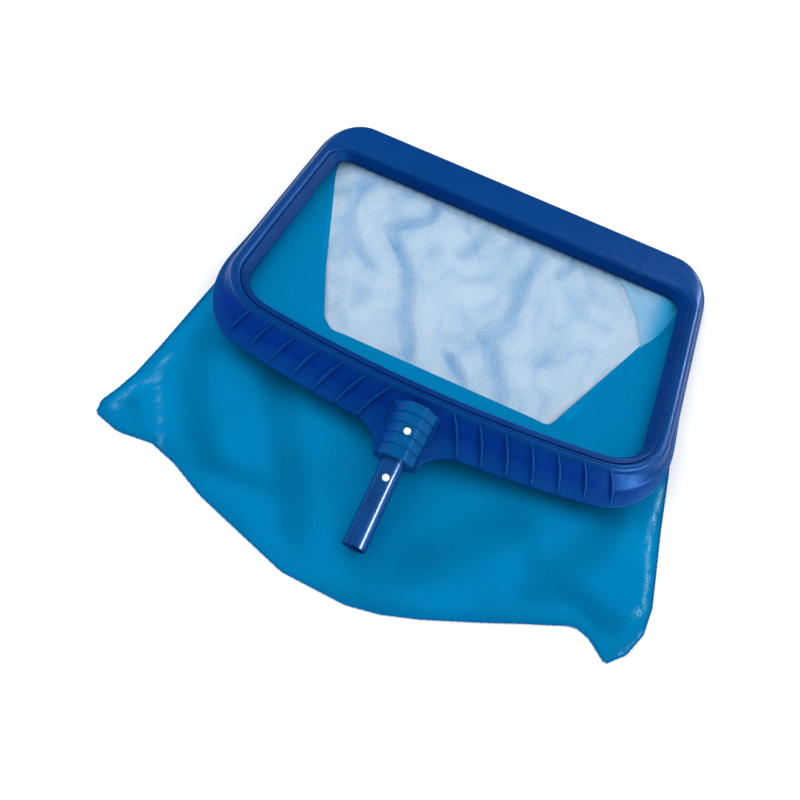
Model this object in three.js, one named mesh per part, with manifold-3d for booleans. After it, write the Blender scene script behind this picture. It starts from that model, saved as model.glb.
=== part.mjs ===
// Leaf skimmer net: moulded frame, clamped net bag, socket sleeve and handle spigot.
// Millimetres, +Z up. The net lies on the floor (z = 0) with its mouth up, the wide
// scoop lip towards +Y and the handle spigot towards -Y.
import * as THREE from 'three';
import { mergeVertices } from 'three/addons/utils/BufferGeometryUtils.js';
import Module from 'manifold-3d';

// ---------------------------------------------------------------- driving dimensions
const GAP = 0.3; // clearance between touching pieces
const TILT = THREE.MathUtils.degToRad(-5.6); // rest tilt: handle side stands higher
const LIFT = 39.1; // height of the frame origin above the floor

// mouth of the frame, measured on the plane of its top rim
const MOUTH_HALF_W = 235;
const MOUTH_FAR_Y = 157;
const MOUTH_NEAR_Y = -150;
const FAR_RADIUS = 22;
const NEAR_RADIUS = 50;
const NEAR_CENTRE = { x: 185, y: -87.2 };
const NEAR_BOW = 0.00036; // y = MOUTH_NEAR_Y + NEAR_BOW * x * x
const NEAR_ARC_END = 82.4; // degrees turned by each near corner

// frame sections: [distance outwards from the mouth line, height]
const FRAME_SIDE = [
  [11.7, -1.5], [13.2, 0.6], [16.2, 2.0], [19.8, 2.2], [23.2, 0.8], [25.4, -2.0],
  [26.2, -6.6], [30.0, -7.4], [30.0, -9.8], [26.4, -10.4], [26.0, -22.0], [23.4, -22.0],
  [23.0, -11.0], [11.7, -11.0],
];
const FRAME_FAR = [
  [4.9, -0.1], [6.5, 0.8], [14.0, 2.4], [24.0, 5.2], [34.0, 8.2], [42.0, 10.8],
  [46.0, 12.2], [47.4, 11.8], [47.0, 10.0], [19.5, -2.0], [18.0, -22.0], [15.4, -22.0],
  [15.0, -11.0], [4.9, -11.0],
];
const FRAME_NEAR = [
  [8.5, -3.0], [9.6, -0.8], [11.0, 0.2], [16.0, 0.0], [17.6, -1.6], [19.0, -6.0],
  [33.0, -16.8], [50.0, -23.2], [50.0, -26.0], [25.6, -15.6], [23.0, -22.0], [20.4, -22.0],
  [20.0, -11.0], [8.5, -11.0],
];
const APRON_TOP = 7; // index of the apron's outer upper edge in FRAME_NEAR
const APRON_BOTTOM = 8;
const APRON_BOW = 6; // extra width of the apron at the middle
const WEB_REACH = 31; // how far the web runs out under the socket
const WEB_DROP = 4.5;
// width profile of the web either side of the socket: [distance from middle, share]
const WEB_PROFILE = [
  [0, 1], [21, 1], [24, 0.75], [27, 0.52], [34, 0.28], [41, 0.15], [48, 0.06], [57, 0],
];

// net retaining ring sections
const RING_SIDE = [
  [0.0, -12.5], [0.4, -11.2], [9.6, -2.2], [11.4, -1.6], [11.4, -17.0], [8.6, -17.0],
  [7.8, -12.5],
];
const RING_FAR = [
  [0.0, -12.5], [0.2, -11.2], [2.6, -0.9], [4.6, -0.3], [4.6, -17.0], [1.9, -17.0],
  [1.6, -12.5],
];
const RING_NEAR = [
  [0.6, -12.5], [0.0, -1.6], [1.6, 0.2], [8.0, -0.3], [8.2, -17.0], [5.4, -17.0],
  [4.8, -12.5],
];

// hem channel
const HEM_SIDE_U = 17.2;
const HEM_FAR_U = 9.8;
const HEM_NEAR_U = 14.1;
const HEM_Z = -16;
const HEM_OUTER_R = 3.6;
const HEM_INNER_R = 2.5;
const HEM_OPEN_FROM = 230; // degrees, the tunnel is open towards the bag
const HEM_OPEN_TO = 300;
const CORD_R = 2.0;

// ribs on the apron
const RIB_COUNT = 7;
const RIB_FIRST = 34;
const RIB_PITCH = 28.6;
const RIB_FOOT_X = [56, 82, 109, 136, 164, 191, 219];
const RIB_FOOT_Y = [-203, -200, -197, -193, -187.5, -181.5, -174];
const RIB_THICK = 2.0;
const RIB_CROWN = 0.4; // the top edge stands above the straight line from head to foot
const RIB_DEPTH = [5.2, 9.2, 6.4]; // depth below the top edge at head, middle and foot

// socket axis, sleeve, spigot tube and clip spring
const AXIS_ORIGIN = new THREE.Vector3(0, -236.7, -27);
const AXIS_SLOPE = THREE.MathUtils.degToRad(17);
const SLEEVE_BACK = -60;
const SLEEVE_BANDS = 5;
const SLEEVE_R_BACK = 22;
const SLEEVE_R_FRONT = 20;
const SLEEVE_GROOVE = 1.0;
const CRADLE_WALL = 3.4;
const TUBE_R = 12.7;
const TUBE_WALL = 1.4;
const TUBE_BACK = -57;
const TUBE_TIP = 96;
const BUTTON_SOCKET_AT = -29;
const BUTTON_POLE_AT = 22;
const BUTTON_SOCKET_R = 4.0;
const BUTTON_POLE_R = 3.75;
const BUTTON_SOCKET_TOP = 21.6;
const BUTTON_POLE_TOP = 15.3;
const SPRING_BEND_AT = 82;
const SPRING_BEND_R = 4.0;
const SPRING_END = -38;
const SPRING_END_R = 9.6;
const SPRING_WIDTH = 8;
const SPRING_THICK = 0.9;

// bag cloth
const CLOTH = 1.0;
const BAG_OUTLINE = [
  [-255, 60], [-264, 0], [-272, -60], [-278, -140], [-283, -210], [-287, -250],
  [-293, -276], [-299, -295], [-296, -308], [-268, -316], [-231, -312], [-199, -322],
  [-160, -341], [-108, -358], [-53, -376], [15, -379], [49, -373], [85, -361],
  [140, -338], [176, -322], [228, -300], [246, -306], [266, -322], [282, -306],
  [293, -280], [295, -250], [292, -225], [284, -162], [277, -90], [266, -20], [256, 60],
];

const CORNER_LEFT = 8; // places of the two floor corners in BAG_OUTLINE
const CORNER_RIGHT = 22;
const END_STEPS = 18;
// each side gusset's columns: three turned angles round the near corner, then y
const GUSSET_HEM = [-38, -24, -10, -78, -60, -38, -8, 30, 70, 100];
const GUSSET_FOLD_Y = [-90, -84, -76, -66, -52, -28, 4, 40, 74, 97];

const COLOUR = {
  frame: [0x0b4c9c, 0.45, 0],
  ring: [0x083f88, 0.5, 0],
  sleeve: [0x0d5299, 0.45, 0],
  tube: [0x0a3f8e, 0.22, 0.85],
  spring: [0xb9bfc6, 0.35, 1],
  button: [0xf2f5f7, 0.4, 0],
  net: [0x0878b8, 0.9, 0],
  hem: [0x0a62a4, 0.9, 0],
  cord: [0xd9dee2, 0.8, 0],
};

// ---------------------------------------------------------------- solid helpers
const wasm = await Module();
wasm.setup();

function signedVolume(points, faces) {
  let sum = 0;
  for (const [a, b, c] of faces) {
    sum += points[a].dot(new THREE.Vector3().crossVectors(points[b], points[c]));
  }
  return sum / 6;
}

function solid(points, faces) {
  const outward = signedVolume(points, faces) > 0;
  const geometry = new THREE.BufferGeometry();
  const flat = new Float32Array(points.length * 3);
  points.forEach((p, i) => p.toArray(flat, i * 3));
  geometry.setAttribute('position', new THREE.BufferAttribute(flat, 3));
  geometry.setIndex(faces.flatMap(([a, b, c]) => (outward ? [a, b, c] : [a, c, b])));
  return geometry;
}

function toManifold(geometry) {
  const clean = geometry.clone();
  clean.deleteAttribute('normal');
  clean.deleteAttribute('uv');
  const merged = mergeVertices(clean, 1e-4);
  const index = Array.from(merged.index.array);
  const kept = [];
  for (let i = 0; i < index.length; i += 3) {
    const [a, b, c] = index.slice(i, i + 3);
    if (a !== b && b !== c && a !== c) {
      kept.push(a, b, c);
    }
  }
  const vertProperties = Float32Array.from(merged.getAttribute('position').array);
  const triVerts = Uint32Array.from(kept);
  return new wasm.Manifold(new wasm.Mesh({ numProp: 3, vertProperties, triVerts }));
}

function fromManifold(body) {
  const mesh = body.getMesh();
  const geometry = new THREE.BufferGeometry();
  geometry.setAttribute('position', new THREE.BufferAttribute(mesh.vertProperties, 3));
  geometry.setIndex(new THREE.BufferAttribute(mesh.triVerts, 1));
  return geometry;
}

// sections joined all the way round into a ring
function loopLoft(sections) {
  const count = sections[0].length;
  const faces = [];
  sections.forEach((_, i) => {
    const next = (i + 1) % sections.length;
    for (let j = 0; j < count; j += 1) {
      const k = (j + 1) % count;
      faces.push([i * count + j, next * count + j, next * count + k]);
      faces.push([i * count + j, next * count + k, i * count + k]);
    }
  });
  return solid(sections.flat(), faces);
}

// sections joined end to end and capped; flatten gives each cap's outline in 2-D
function openLoft(sections, flatten) {
  const count = sections[0].length;
  const faces = [];
  for (let i = 0; i + 1 < sections.length; i += 1) {
    for (let j = 0; j < count; j += 1) {
      const k = (j + 1) % count;
      faces.push([i * count + j, (i + 1) * count + j, (i + 1) * count + k]);
      faces.push([i * count + j, (i + 1) * count + k, i * count + k]);
    }
  }
  const cap = (row, reversed) => {
    const outline = sections[row].map(flatten);
    const clockwise = THREE.ShapeUtils.isClockWise(outline);
    for (const [a, b, c] of THREE.ShapeUtils.triangulateShape(outline, [])) {
      const base = row * count;
      const keep = clockwise !== reversed;
      faces.push(keep ? [base + a, base + b, base + c] : [base + a, base + c, base + b]);
    }
  };
  cap(0, false);
  cap(sections.length - 1, true);
  return fixCaps(sections.flat(), faces);
}

// makes every face of a closed shell agree with its neighbours
function fixCaps(points, faces) {
  const edges = new Map();
  faces.forEach((face, f) => {
    face.forEach((a, i) => {
      const b = face[(i + 1) % 3];
      const key = a < b ? `${a}_${b}` : `${b}_${a}`;
      if (!edges.has(key)) {
        edges.set(key, []);
      }
      edges.get(key).push({ f, forward: a < b });
    });
  });
  const flipped = new Map([[0, false]]);
  const queue = [0];
  while (queue.length) {
    const f = queue.pop();
    faces[f].forEach((a, i) => {
      const b = faces[f][(i + 1) % 3];
      const key = a < b ? `${a}_${b}` : `${b}_${a}`;
      const [one, two] = edges.get(key);
      const other = one.f === f ? two : one;
      const mine = one.f === f ? one : two;
      if (!flipped.has(other.f)) {
        flipped.set(other.f, (mine.forward === other.forward) !== flipped.get(f));
        queue.push(other.f);
      }
    });
  }
  const fixed = faces.map(([a, b, c], f) => (flipped.get(f) ? [a, c, b] : [a, b, c]));
  return solid(points, fixed);
}

// cloth sheet from a grid of points on its lower face
function slab(grid, thickness) {
  const rows = grid.length;
  const cols = grid[0].length;
  const lower = grid.flat();
  const upper = lower.map((p) => p.clone().add(new THREE.Vector3(0, 0, thickness)));
  const at = (r, c) => r * cols + c;
  const top = lower.length;
  const faces = [];
  const quad = (a, b, c, d) => faces.push([a, b, c], [a, c, d]);
  for (let r = 0; r + 1 < rows; r += 1) {
    for (let c = 0; c + 1 < cols; c += 1) {
      quad(at(r, c), at(r + 1, c), at(r + 1, c + 1), at(r, c + 1));
      quad(top + at(r, c), top + at(r, c + 1), top + at(r + 1, c + 1), top + at(r + 1, c));
    }
  }
  const rim = [];
  for (let c = 0; c < cols; c += 1) rim.push(at(0, c));
  for (let r = 1; r < rows; r += 1) rim.push(at(r, cols - 1));
  for (let c = cols - 2; c >= 0; c -= 1) rim.push(at(rows - 1, c));
  for (let r = rows - 2; r > 0; r -= 1) rim.push(at(r, 0));
  rim.forEach((a, i) => {
    const b = rim[(i + 1) % rim.length];
    quad(a, b, top + b, top + a);
  });
  return solid([...lower, ...upper], faces);
}

// ---------------------------------------------------------------- placing
const REST = new THREE.Matrix4().makeRotationX(TILT).setPosition(0, 0, LIFT);
const AXIS_U = new THREE.Vector3(0, -Math.cos(AXIS_SLOPE), -Math.sin(AXIS_SLOPE));
const AXIS_N = new THREE.Vector3(0, -Math.sin(AXIS_SLOPE), Math.cos(AXIS_SLOPE));
// local y runs out along the socket axis, local z is its upper side
const SOCKET = new THREE.Matrix4()
  .makeBasis(new THREE.Vector3(-1, 0, 0), AXIS_U, AXIS_N)
  .setPosition(AXIS_ORIGIN);

function mix(a, b, t) {
  return a + (b - a) * t;
}

function smooth(t) {
  const s = Math.min(1, Math.max(0, t));
  return s * s * (3 - 2 * s);
}

function table(rows, x) {
  for (let i = 0; i + 1 < rows.length; i += 1) {
    const [x0, y0] = rows[i];
    const [x1, y1] = rows[i + 1];
    if (x <= x1) {
      return mix(y0, y1, (x - x0) / (x1 - x0));
    }
  }
  return rows[rows.length - 1][1];
}

// ---------------------------------------------------------------- mouth line
function halfMouth() {
  const out = [];
  const add = (x, y, nx, ny, far, near) => out.push({ x, y, nx, ny, far, near });
  for (const x of [0, 55, 110, 160, 195]) {
    add(x, MOUTH_FAR_Y, 0, 1, 1, 0);
  }
  for (let i = 0; i <= 6; i += 1) {
    const a = THREE.MathUtils.degToRad(90 - 15 * i);
    const x = MOUTH_HALF_W - FAR_RADIUS + FAR_RADIUS * Math.cos(a);
    const y = MOUTH_FAR_Y - FAR_RADIUS + FAR_RADIUS * Math.sin(a);
    add(x, y, Math.cos(a), Math.sin(a), 1 - smooth(i / 6), 0);
  }
  for (const y of [118, 98, 75, 45, 10, -25, -55, -72]) {
    add(MOUTH_HALF_W, y, 1, 0, 0, 0.14 * smooth((-30 - y) / 57));
  }
  for (let i = 0; i <= 8; i += 1) {
    const turned = (NEAR_ARC_END * i) / 8;
    const a = THREE.MathUtils.degToRad(-turned);
    const x = NEAR_CENTRE.x + NEAR_RADIUS * Math.cos(a);
    const y = NEAR_CENTRE.y + NEAR_RADIUS * Math.sin(a);
    add(x, y, Math.cos(a), Math.sin(a), 0, 0.14 + 0.86 * smooth(turned / 78));
  }
  for (const x of [170, 145, 120, 95, 72, 57, 48, 41, 34, 27, 24, 21, 11, 0]) {
    const slope = 2 * NEAR_BOW * x;
    const length = Math.hypot(slope, 1);
    add(x, MOUTH_NEAR_Y + NEAR_BOW * x * x, slope / length, -1 / length, 0, 1);
  }
  return out;
}

function mouthStations() {
  const right = halfMouth();
  const left = right
    .slice(1, -1)
    .reverse()
    .map((s) => ({ ...s, x: -s.x, nx: -s.nx }));
  return [...right, ...left];
}

const STATIONS = mouthStations();

function place(station, u, z) {
  return new THREE.Vector3(station.x + station.nx * u, station.y + station.ny * u, z);
}

function blend(station, side, far, near) {
  const rest = 1 - station.far - station.near;
  return side.map(([u, z], i) => [
    u * rest + far[i][0] * station.far + near[i][0] * station.near,
    z * rest + far[i][1] * station.far + near[i][1] * station.near,
  ]);
}

// ---------------------------------------------------------------- moulded frame
function frameSection(station) {
  const points = blend(station, FRAME_SIDE, FRAME_FAR, FRAME_NEAR);
  if (station.near > 0.5) {
    const across = Math.abs(station.x);
    const bow = APRON_BOW * (1 - Math.min(1, across / 190) ** 2);
    const web = table(WEB_PROFILE, across);
    points[APRON_TOP][0] += bow + WEB_REACH * web;
    points[APRON_BOTTOM][0] += bow + WEB_REACH * web;
    points[APRON_TOP][1] -= WEB_DROP * web;
    points[APRON_BOTTOM][1] -= WEB_DROP * web;
  }
  return points.map(([u, z]) => place(station, u, z));
}

function rib(headX, footX, footY) {
  const headY = MOUTH_NEAR_Y + NEAR_BOW * headX * headX - 16.5;
  const head = new THREE.Vector3(headX, headY, -0.9);
  const foot = new THREE.Vector3(footX, footY, -19.6);
  const along = foot.clone().sub(head).setZ(0).normalize();
  const across = new THREE.Vector3(-along.y, along.x, 0).multiplyScalar(RIB_THICK / 2);
  const middle = head.clone().lerp(foot, 0.5);
  middle.z += RIB_CROWN;
  const points = [];
  [head, middle, foot].forEach((p, i) => {
    const low = p.z - RIB_DEPTH[i];
    points.push(p.clone().add(across), p.clone().sub(across));
    points.push(p.clone().sub(across).setZ(low), p.clone().add(across).setZ(low));
  });
  const faces = [];
  for (let i = 0; i < 2; i += 1) {
    for (let j = 0; j < 4; j += 1) {
      const k = (j + 1) % 4;
      faces.push([i * 4 + j, i * 4 + 4 + j, i * 4 + 4 + k], [i * 4 + j, i * 4 + 4 + k, i * 4 + k]);
    }
  }
  faces.push([0, 1, 2], [0, 2, 3], [8, 10, 9], [8, 11, 10]);
  return solid(points, faces);
}

function octagon(profile) {
  const grow = 1 / Math.cos(Math.PI / 8);
  const points = profile.map(([a, r]) => new THREE.Vector2(r * grow, a));
  const geometry = new THREE.LatheGeometry(points, 8);
  geometry.rotateY(Math.PI / 8);
  return geometry.applyMatrix4(SOCKET);
}

function axisCylinder(radius, from, to, segments) {
  const geometry = new THREE.CylinderGeometry(radius, radius, to - from, segments);
  geometry.translate(0, (from + to) / 2, 0);
  return geometry.applyMatrix4(SOCKET);
}

// round pin across the socket axis, from height b0 to b1 on the upper side
function crossCylinder(radius, at, b0, b1, segments = 24) {
  const geometry = new THREE.CylinderGeometry(radius, radius, Math.abs(b1 - b0), segments);
  geometry.rotateX(Math.PI / 2);
  geometry.translate(0, at, (b0 + b1) / 2);
  return geometry.applyMatrix4(SOCKET);
}

function sleeveRadius(a) {
  return mix(SLEEVE_R_BACK, SLEEVE_R_FRONT, (a - SLEEVE_BACK) / -SLEEVE_BACK);
}

function buildFrame() {
  let body = toManifold(loopLoft(STATIONS.map(frameSection)));
  for (let i = 0; i < RIB_COUNT; i += 1) {
    for (const side of [-1, 1]) {
      const headX = side * (RIB_FIRST + RIB_PITCH * i);
      body = body.add(toManifold(rib(headX, side * RIB_FOOT_X[i], RIB_FOOT_Y[i])));
    }
  }
  const back = SLEEVE_BACK - 3.2;
  const cradle = toManifold(octagon([
    [back, 0], [back, SLEEVE_R_BACK + CRADLE_WALL], [-1, SLEEVE_R_FRONT + CRADLE_WALL], [-1, 0],
  ]));
  const upper = new THREE.BoxGeometry(80, 100, 60);
  upper.translate(0, -30, 33);
  body = body.add(cradle.subtract(toManifold(upper.applyMatrix4(SOCKET))));
  const seat = octagon([
    [SLEEVE_BACK - GAP, 0], [SLEEVE_BACK - GAP, SLEEVE_R_BACK + GAP],
    [0, SLEEVE_R_FRONT + GAP], [40, SLEEVE_R_FRONT + GAP], [40, 0],
  ]);
  body = body.subtract(toManifold(seat));
  const access = crossCylinder(BUTTON_SOCKET_R + 2.4, BUTTON_SOCKET_AT - 0.4, -40, -10);
  return fromManifold(body.subtract(toManifold(access)));
}

function buildRing() {
  return loopLoft(STATIONS.map((s) => (
    blend(s, RING_SIDE, RING_FAR, RING_NEAR).map(([u, z]) => place(s, u, z))
  )));
}

// ---------------------------------------------------------------- handle socket parts
function buildSleeve() {
  const profile = [[SLEEVE_BACK, 0]];
  const band = -SLEEVE_BACK / SLEEVE_BANDS;
  for (let i = 0; i < SLEEVE_BANDS; i += 1) {
    const from = SLEEVE_BACK + band * i;
    const to = from + band;
    profile.push([from, sleeveRadius(from) - (i ? SLEEVE_GROOVE : 0)]);
    if (i) {
      profile.push([from + 0.9, sleeveRadius(from + 0.9)]);
    }
    profile.push([to - 0.6, sleeveRadius(to - 0.6)]);
  }
  profile.push([0.6, SLEEVE_R_FRONT - 1.2], [0.6, 0]);
  let body = toManifold(octagon(profile));
  body = body.subtract(toManifold(axisCylinder(TUBE_R + GAP, SLEEVE_BACK + 2.4, 20, 48)));
  for (const side of [-1, 1]) {
    const hole = crossCylinder(BUTTON_SOCKET_R + 0.9, BUTTON_SOCKET_AT - 0.4, side * 5, side * 30);
    body = body.subtract(toManifold(hole));
  }
  return fromManifold(body);
}

function buildTube() {
  const inner = TUBE_R - TUBE_WALL;
  const outline = [
    [inner, TUBE_BACK], [TUBE_R - 0.4, TUBE_BACK], [TUBE_R, TUBE_BACK + 0.4],
    [TUBE_R, TUBE_TIP - 0.4], [TUBE_R - 0.4, TUBE_TIP], [inner, TUBE_TIP], [inner, TUBE_BACK],
  ].map(([r, a]) => new THREE.Vector2(r, a));
  let body = toManifold(new THREE.LatheGeometry(outline, 48).applyMatrix4(SOCKET));
  const holes = [
    [BUTTON_SOCKET_R + 0.9, BUTTON_SOCKET_AT - 0.4],
    [BUTTON_POLE_R + 0.6, BUTTON_POLE_AT - 0.25],
  ];
  for (const [radius, at] of holes) {
    for (const side of [-1, 1]) {
      body = body.subtract(toManifold(crossCylinder(radius, at, side * 5, side * 20)));
    }
  }
  return fromManifold(body);
}

function springRadius(a) {
  return mix(SPRING_END_R, SPRING_BEND_R, (a - SPRING_END) / (SPRING_BEND_AT - SPRING_END));
}

function strip(line) {
  const half = SPRING_THICK / 2;
  const sections = line.map(([a, b, da, db]) => {
    const length = Math.hypot(da, db);
    const oa = (-db / length) * half;
    const ob = (da / length) * half;
    const corners = [[a + oa, b + ob], [a - oa, b - ob]];
    const w = SPRING_WIDTH / 2;
    return [
      new THREE.Vector3(-w, corners[0][0], corners[0][1]),
      new THREE.Vector3(w, corners[0][0], corners[0][1]),
      new THREE.Vector3(w, corners[1][0], corners[1][1]),
      new THREE.Vector3(-w, corners[1][0], corners[1][1]),
    ];
  });
  const geometry = openLoft(sections, (p) => new THREE.Vector2(p.x, p.z * 0.7 + p.y * 0.71));
  return geometry.applyMatrix4(SOCKET);
}

function buildSpringBend() {
  const line = [];
  for (let i = 0; i <= 8; i += 1) {
    const t = Math.PI * (0.5 - i / 8);
    line.push([
      SPRING_BEND_AT + 0.4 + SPRING_BEND_R * Math.cos(t), SPRING_BEND_R * Math.sin(t),
      Math.sin(t), -Math.cos(t),
    ]);
  }
  return strip(line);
}

function buildSpringLeg(side) {
  const slope = (SPRING_BEND_R - SPRING_END_R) / (SPRING_BEND_AT - SPRING_END);
  return strip([
    [SPRING_END, side * SPRING_END_R, 1, side * slope],
    [SPRING_BEND_AT, side * SPRING_BEND_R, 1, side * slope],
  ]);
}

function buildButton(radius, at, top, side) {
  const foot = springRadius(at) + SPRING_THICK / 2 + 0.25;
  const chamfer = 0.7;
  const profile = [
    [0, foot], [radius, foot], [radius, top - chamfer], [radius - chamfer, top], [0, top],
  ].map(([r, y]) => new THREE.Vector2(r, y));
  const geometry = new THREE.LatheGeometry(profile, 20);
  geometry.rotateX(Math.PI / 2);
  if (side < 0) {
    geometry.rotateX(Math.PI);
  }
  geometry.translate(0, at, 0);
  return geometry.applyMatrix4(SOCKET);
}

// ---------------------------------------------------------------- hem and cord
function hemCentre(s) {
  return HEM_SIDE_U * (1 - s.far - s.near) + HEM_FAR_U * s.far + HEM_NEAR_U * s.near;
}

function hemStations() {
  return STATIONS.filter((s) => !(s.near === 1 && Math.abs(s.x) < 100 && Math.abs(s.x) > 1
    && ![72, 41].includes(Math.abs(s.x))));
}

function buildHem() {
  return loopLoft(hemStations().map((s) => {
    const u0 = hemCentre(s);
    const arc = (radius, from, to) => {
      const out = [];
      for (let i = 0; i <= 5; i += 1) {
        const a = THREE.MathUtils.degToRad(mix(from, to, i / 5));
        out.push(place(s, u0 + radius * Math.cos(a), HEM_Z + radius * Math.sin(a)));
      }
      return out;
    };
    return [
      ...arc(HEM_OUTER_R, HEM_OPEN_TO, HEM_OPEN_FROM + 360),
      ...arc(HEM_INNER_R, HEM_OPEN_FROM + 360, HEM_OPEN_TO),
    ];
  }));
}

function buildCord() {
  return loopLoft(hemStations().map((s) => {
    const u0 = hemCentre(s);
    return Array.from({ length: 8 }, (_, i) => {
      const a = (i * Math.PI) / 4;
      return place(s, u0 + CORD_R * Math.cos(a), HEM_Z + CORD_R * Math.sin(a));
    });
  }));
}

// ---------------------------------------------------------------- bag
// The bag is already in floor coordinates. Each column of an upper panel runs from
// the hem (h) down to the fold line (f) and back out to the seam (o).
const v3 = (x, y, z) => new THREE.Vector3(x, y, z);

function outlineEdge(from, to, steps) {
  const points = BAG_OUTLINE.slice(from, to + 1).map(([x, y]) => new THREE.Vector2(x, y));
  const lengths = [0];
  for (let i = 1; i < points.length; i += 1) {
    lengths.push(lengths[i - 1] + points[i].distanceTo(points[i - 1]));
  }
  const total = lengths[lengths.length - 1];
  return Array.from({ length: steps + 1 }, (_, s) => {
    const want = (total * s) / steps;
    let i = 1;
    while (i < points.length - 1 && lengths[i] < want) i += 1;
    const t = (want - lengths[i - 1]) / (lengths[i] - lengths[i - 1]);
    return points[i - 1].clone().lerp(points[i], t);
  });
}

// underside height of the upper cloth between the fold and the seam
function returnHeight(x, y, t, loft) {
  const puff = mix(1.5, 6.6 + 1.6 * Math.sin(Math.PI * Math.min(1, t * 1.1)), loft);
  const pressed = smooth((75 - Math.abs(x)) / 40) * smooth((-215 - y) / 60);
  const inside = mix(puff, 1.45, pressed);
  return mix(inside, 1.5, smooth((t - 0.72) / 0.28));
}

function foldedPanel(columns, flatten) {
  const steps = [0.16, 0.34, 0.52, 0.7, 0.85, 1];
  return openLoft(columns.map(({ h, f, o, loft = 1 }) => {
    const span = new THREE.Vector2(o.x - f.x, o.y - f.y);
    const notch = Math.min(5, span.length() * 0.12);
    const out = span.normalize();
    const toHem = new THREE.Vector2(h.x - f.x, h.y - f.y).normalize();
    const upper = [];
    const lower = [];
    for (const t of steps) {
      const x = mix(f.x, o.x, t);
      const y = mix(f.y, o.y, t);
      const z = returnHeight(x, y, t, loft);
      upper.push(v3(x, y, z + CLOTH));
      lower.unshift(v3(x, y, z));
    }
    const z0 = returnHeight(f.x, f.y, 0, loft);
    return [
      v3(h.x + toHem.x * 0.6, h.y + toHem.y * 0.6, h.z),
      v3(mix(f.x, h.x, 0.5) + out.x, mix(f.y, h.y, 0.5) + out.y, mix(z0 + 1, h.z, 0.42)),
      v3(f.x + out.x * notch, f.y + out.y * notch, z0 + CLOTH + 0.3),
      ...upper,
      ...lower,
      v3(f.x + out.x, f.y + out.y, z0),
      v3(f.x - out.x * 0.4, f.y - out.y * 0.4, z0 + 0.9),
      v3(mix(f.x, h.x, 0.5) - out.x * 0.4, mix(f.y, h.y, 0.5) - out.y * 0.4, mix(z0 + 1, h.z, 0.42) + 0.9),
      v3(h.x - toHem.x * 0.6, h.y - toHem.y * 0.6, h.z + 0.5),
    ];
  }), flatten);
}

// point on the underside of the hem, in floor coordinates
function hemPoint(x, y, nx, ny, u) {
  return v3(x + nx * u, y + ny * u, HEM_Z - HEM_OUTER_R - 1.2).applyMatrix4(REST);
}

// mouth point and outward normal at a place along the handle side, by its x
function nearMouth(x) {
  const across = Math.abs(x);
  if (across <= 191) {
    return [x, MOUTH_NEAR_Y + NEAR_BOW * x * x, 0, -1];
  }
  const nx = (across - NEAR_CENTRE.x) / NEAR_RADIUS;
  const ny = -Math.sqrt(1 - nx * nx);
  return [x, NEAR_CENTRE.y + NEAR_RADIUS * ny, nx * Math.sign(x), ny];
}

function buildTopPanel() {
  const edge = outlineEdge(CORNER_LEFT, CORNER_RIGHT, END_STEPS);
  const columns = edge.map((o, i) => {
    const t = i / END_STEPS;
    const h = hemPoint(...nearMouth(mix(-216, 216, t)), HEM_NEAR_U - 2);
    return { h, f: { x: mix(-134, 136, t), y: -94 }, o };
  });
  return foldedPanel(columns, (p) => new THREE.Vector2(p.y, p.z));
}

function buildGusset(side) {
  const corner = side < 0 ? [-296.9, -304] : [269, -319];
  const edge = side < 0
    ? BAG_OUTLINE.slice(0, CORNER_LEFT).reverse()
    : BAG_OUTLINE.slice(CORNER_RIGHT + 1);
  const outer = [corner, ...edge, [side * 246, 96]];
  const columns = outer.map(([ox, oy], i) => {
    const turn = THREE.MathUtils.degToRad(GUSSET_HEM[i]);
    const round = i < 3;
    const nx = round ? Math.cos(turn) : 1;
    const ny = round ? Math.sin(turn) : 0;
    const x = round ? NEAR_CENTRE.x + NEAR_RADIUS * nx : MOUTH_HALF_W;
    const y = round ? NEAR_CENTRE.y + NEAR_RADIUS * ny : GUSSET_HEM[i];
    const h = hemPoint(side * x, y, side * nx, ny, 16);
    const fy = GUSSET_FOLD_Y[i];
    const fx = side < 0 ? -146 - 0.43 * (fy + 92) : 147 + 0.418 * (fy + 92);
    const loft = 1 - smooth((i - 3) / 5.5);
    return { h, f: { x: fx, y: fy }, o: { x: mix(ox, fx, 0.012), y: oy }, loft };
  });
  return foldedPanel(columns, (p) => new THREE.Vector2(p.x, p.z));
}

function buildFloorPanel() {
  // rows run from the scoop lip to the end seam, two to each outline step
  const left = [[-232, 163], [-248, 110], ...BAG_OUTLINE.slice(0, CORNER_LEFT + 1)];
  const right = [[232, 163], [248, 110], ...BAG_OUTLINE.slice(CORNER_RIGHT).reverse()];
  const rows = 2 * left.length - 1;
  const along = (list, r) => {
    const i = Math.min(list.length - 2, Math.floor(r / 2));
    const t = r / 2 - i;
    return [mix(list[i][0], list[i + 1][0], t), mix(list[i][1], list[i + 1][1], t)];
  };
  const end = outlineEdge(CORNER_LEFT, CORNER_RIGHT, END_STEPS);
  const [first, last] = [BAG_OUTLINE[CORNER_LEFT], BAG_OUTLINE[CORNER_RIGHT]];
  const grid = [];
  for (let r = 0; r < rows; r += 1) {
    const [lx, ly] = along(left, r);
    const [rx, ry] = along(right, r);
    const pull = smooth((r / (rows - 1) - 0.35) / 0.65);
    grid.push(end.map((p, c) => {
      const s = c / END_STEPS;
      const x = mix(lx, rx, s) + (p.x - mix(first[0], last[0], s)) * pull;
      const y = mix(ly, ry, s) + (p.y - mix(first[1], last[1], s)) * pull;
      return v3(x, y, smooth((y - 140) / 20));
    }));
  }
  return slab(grid, CLOTH);
}

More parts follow.
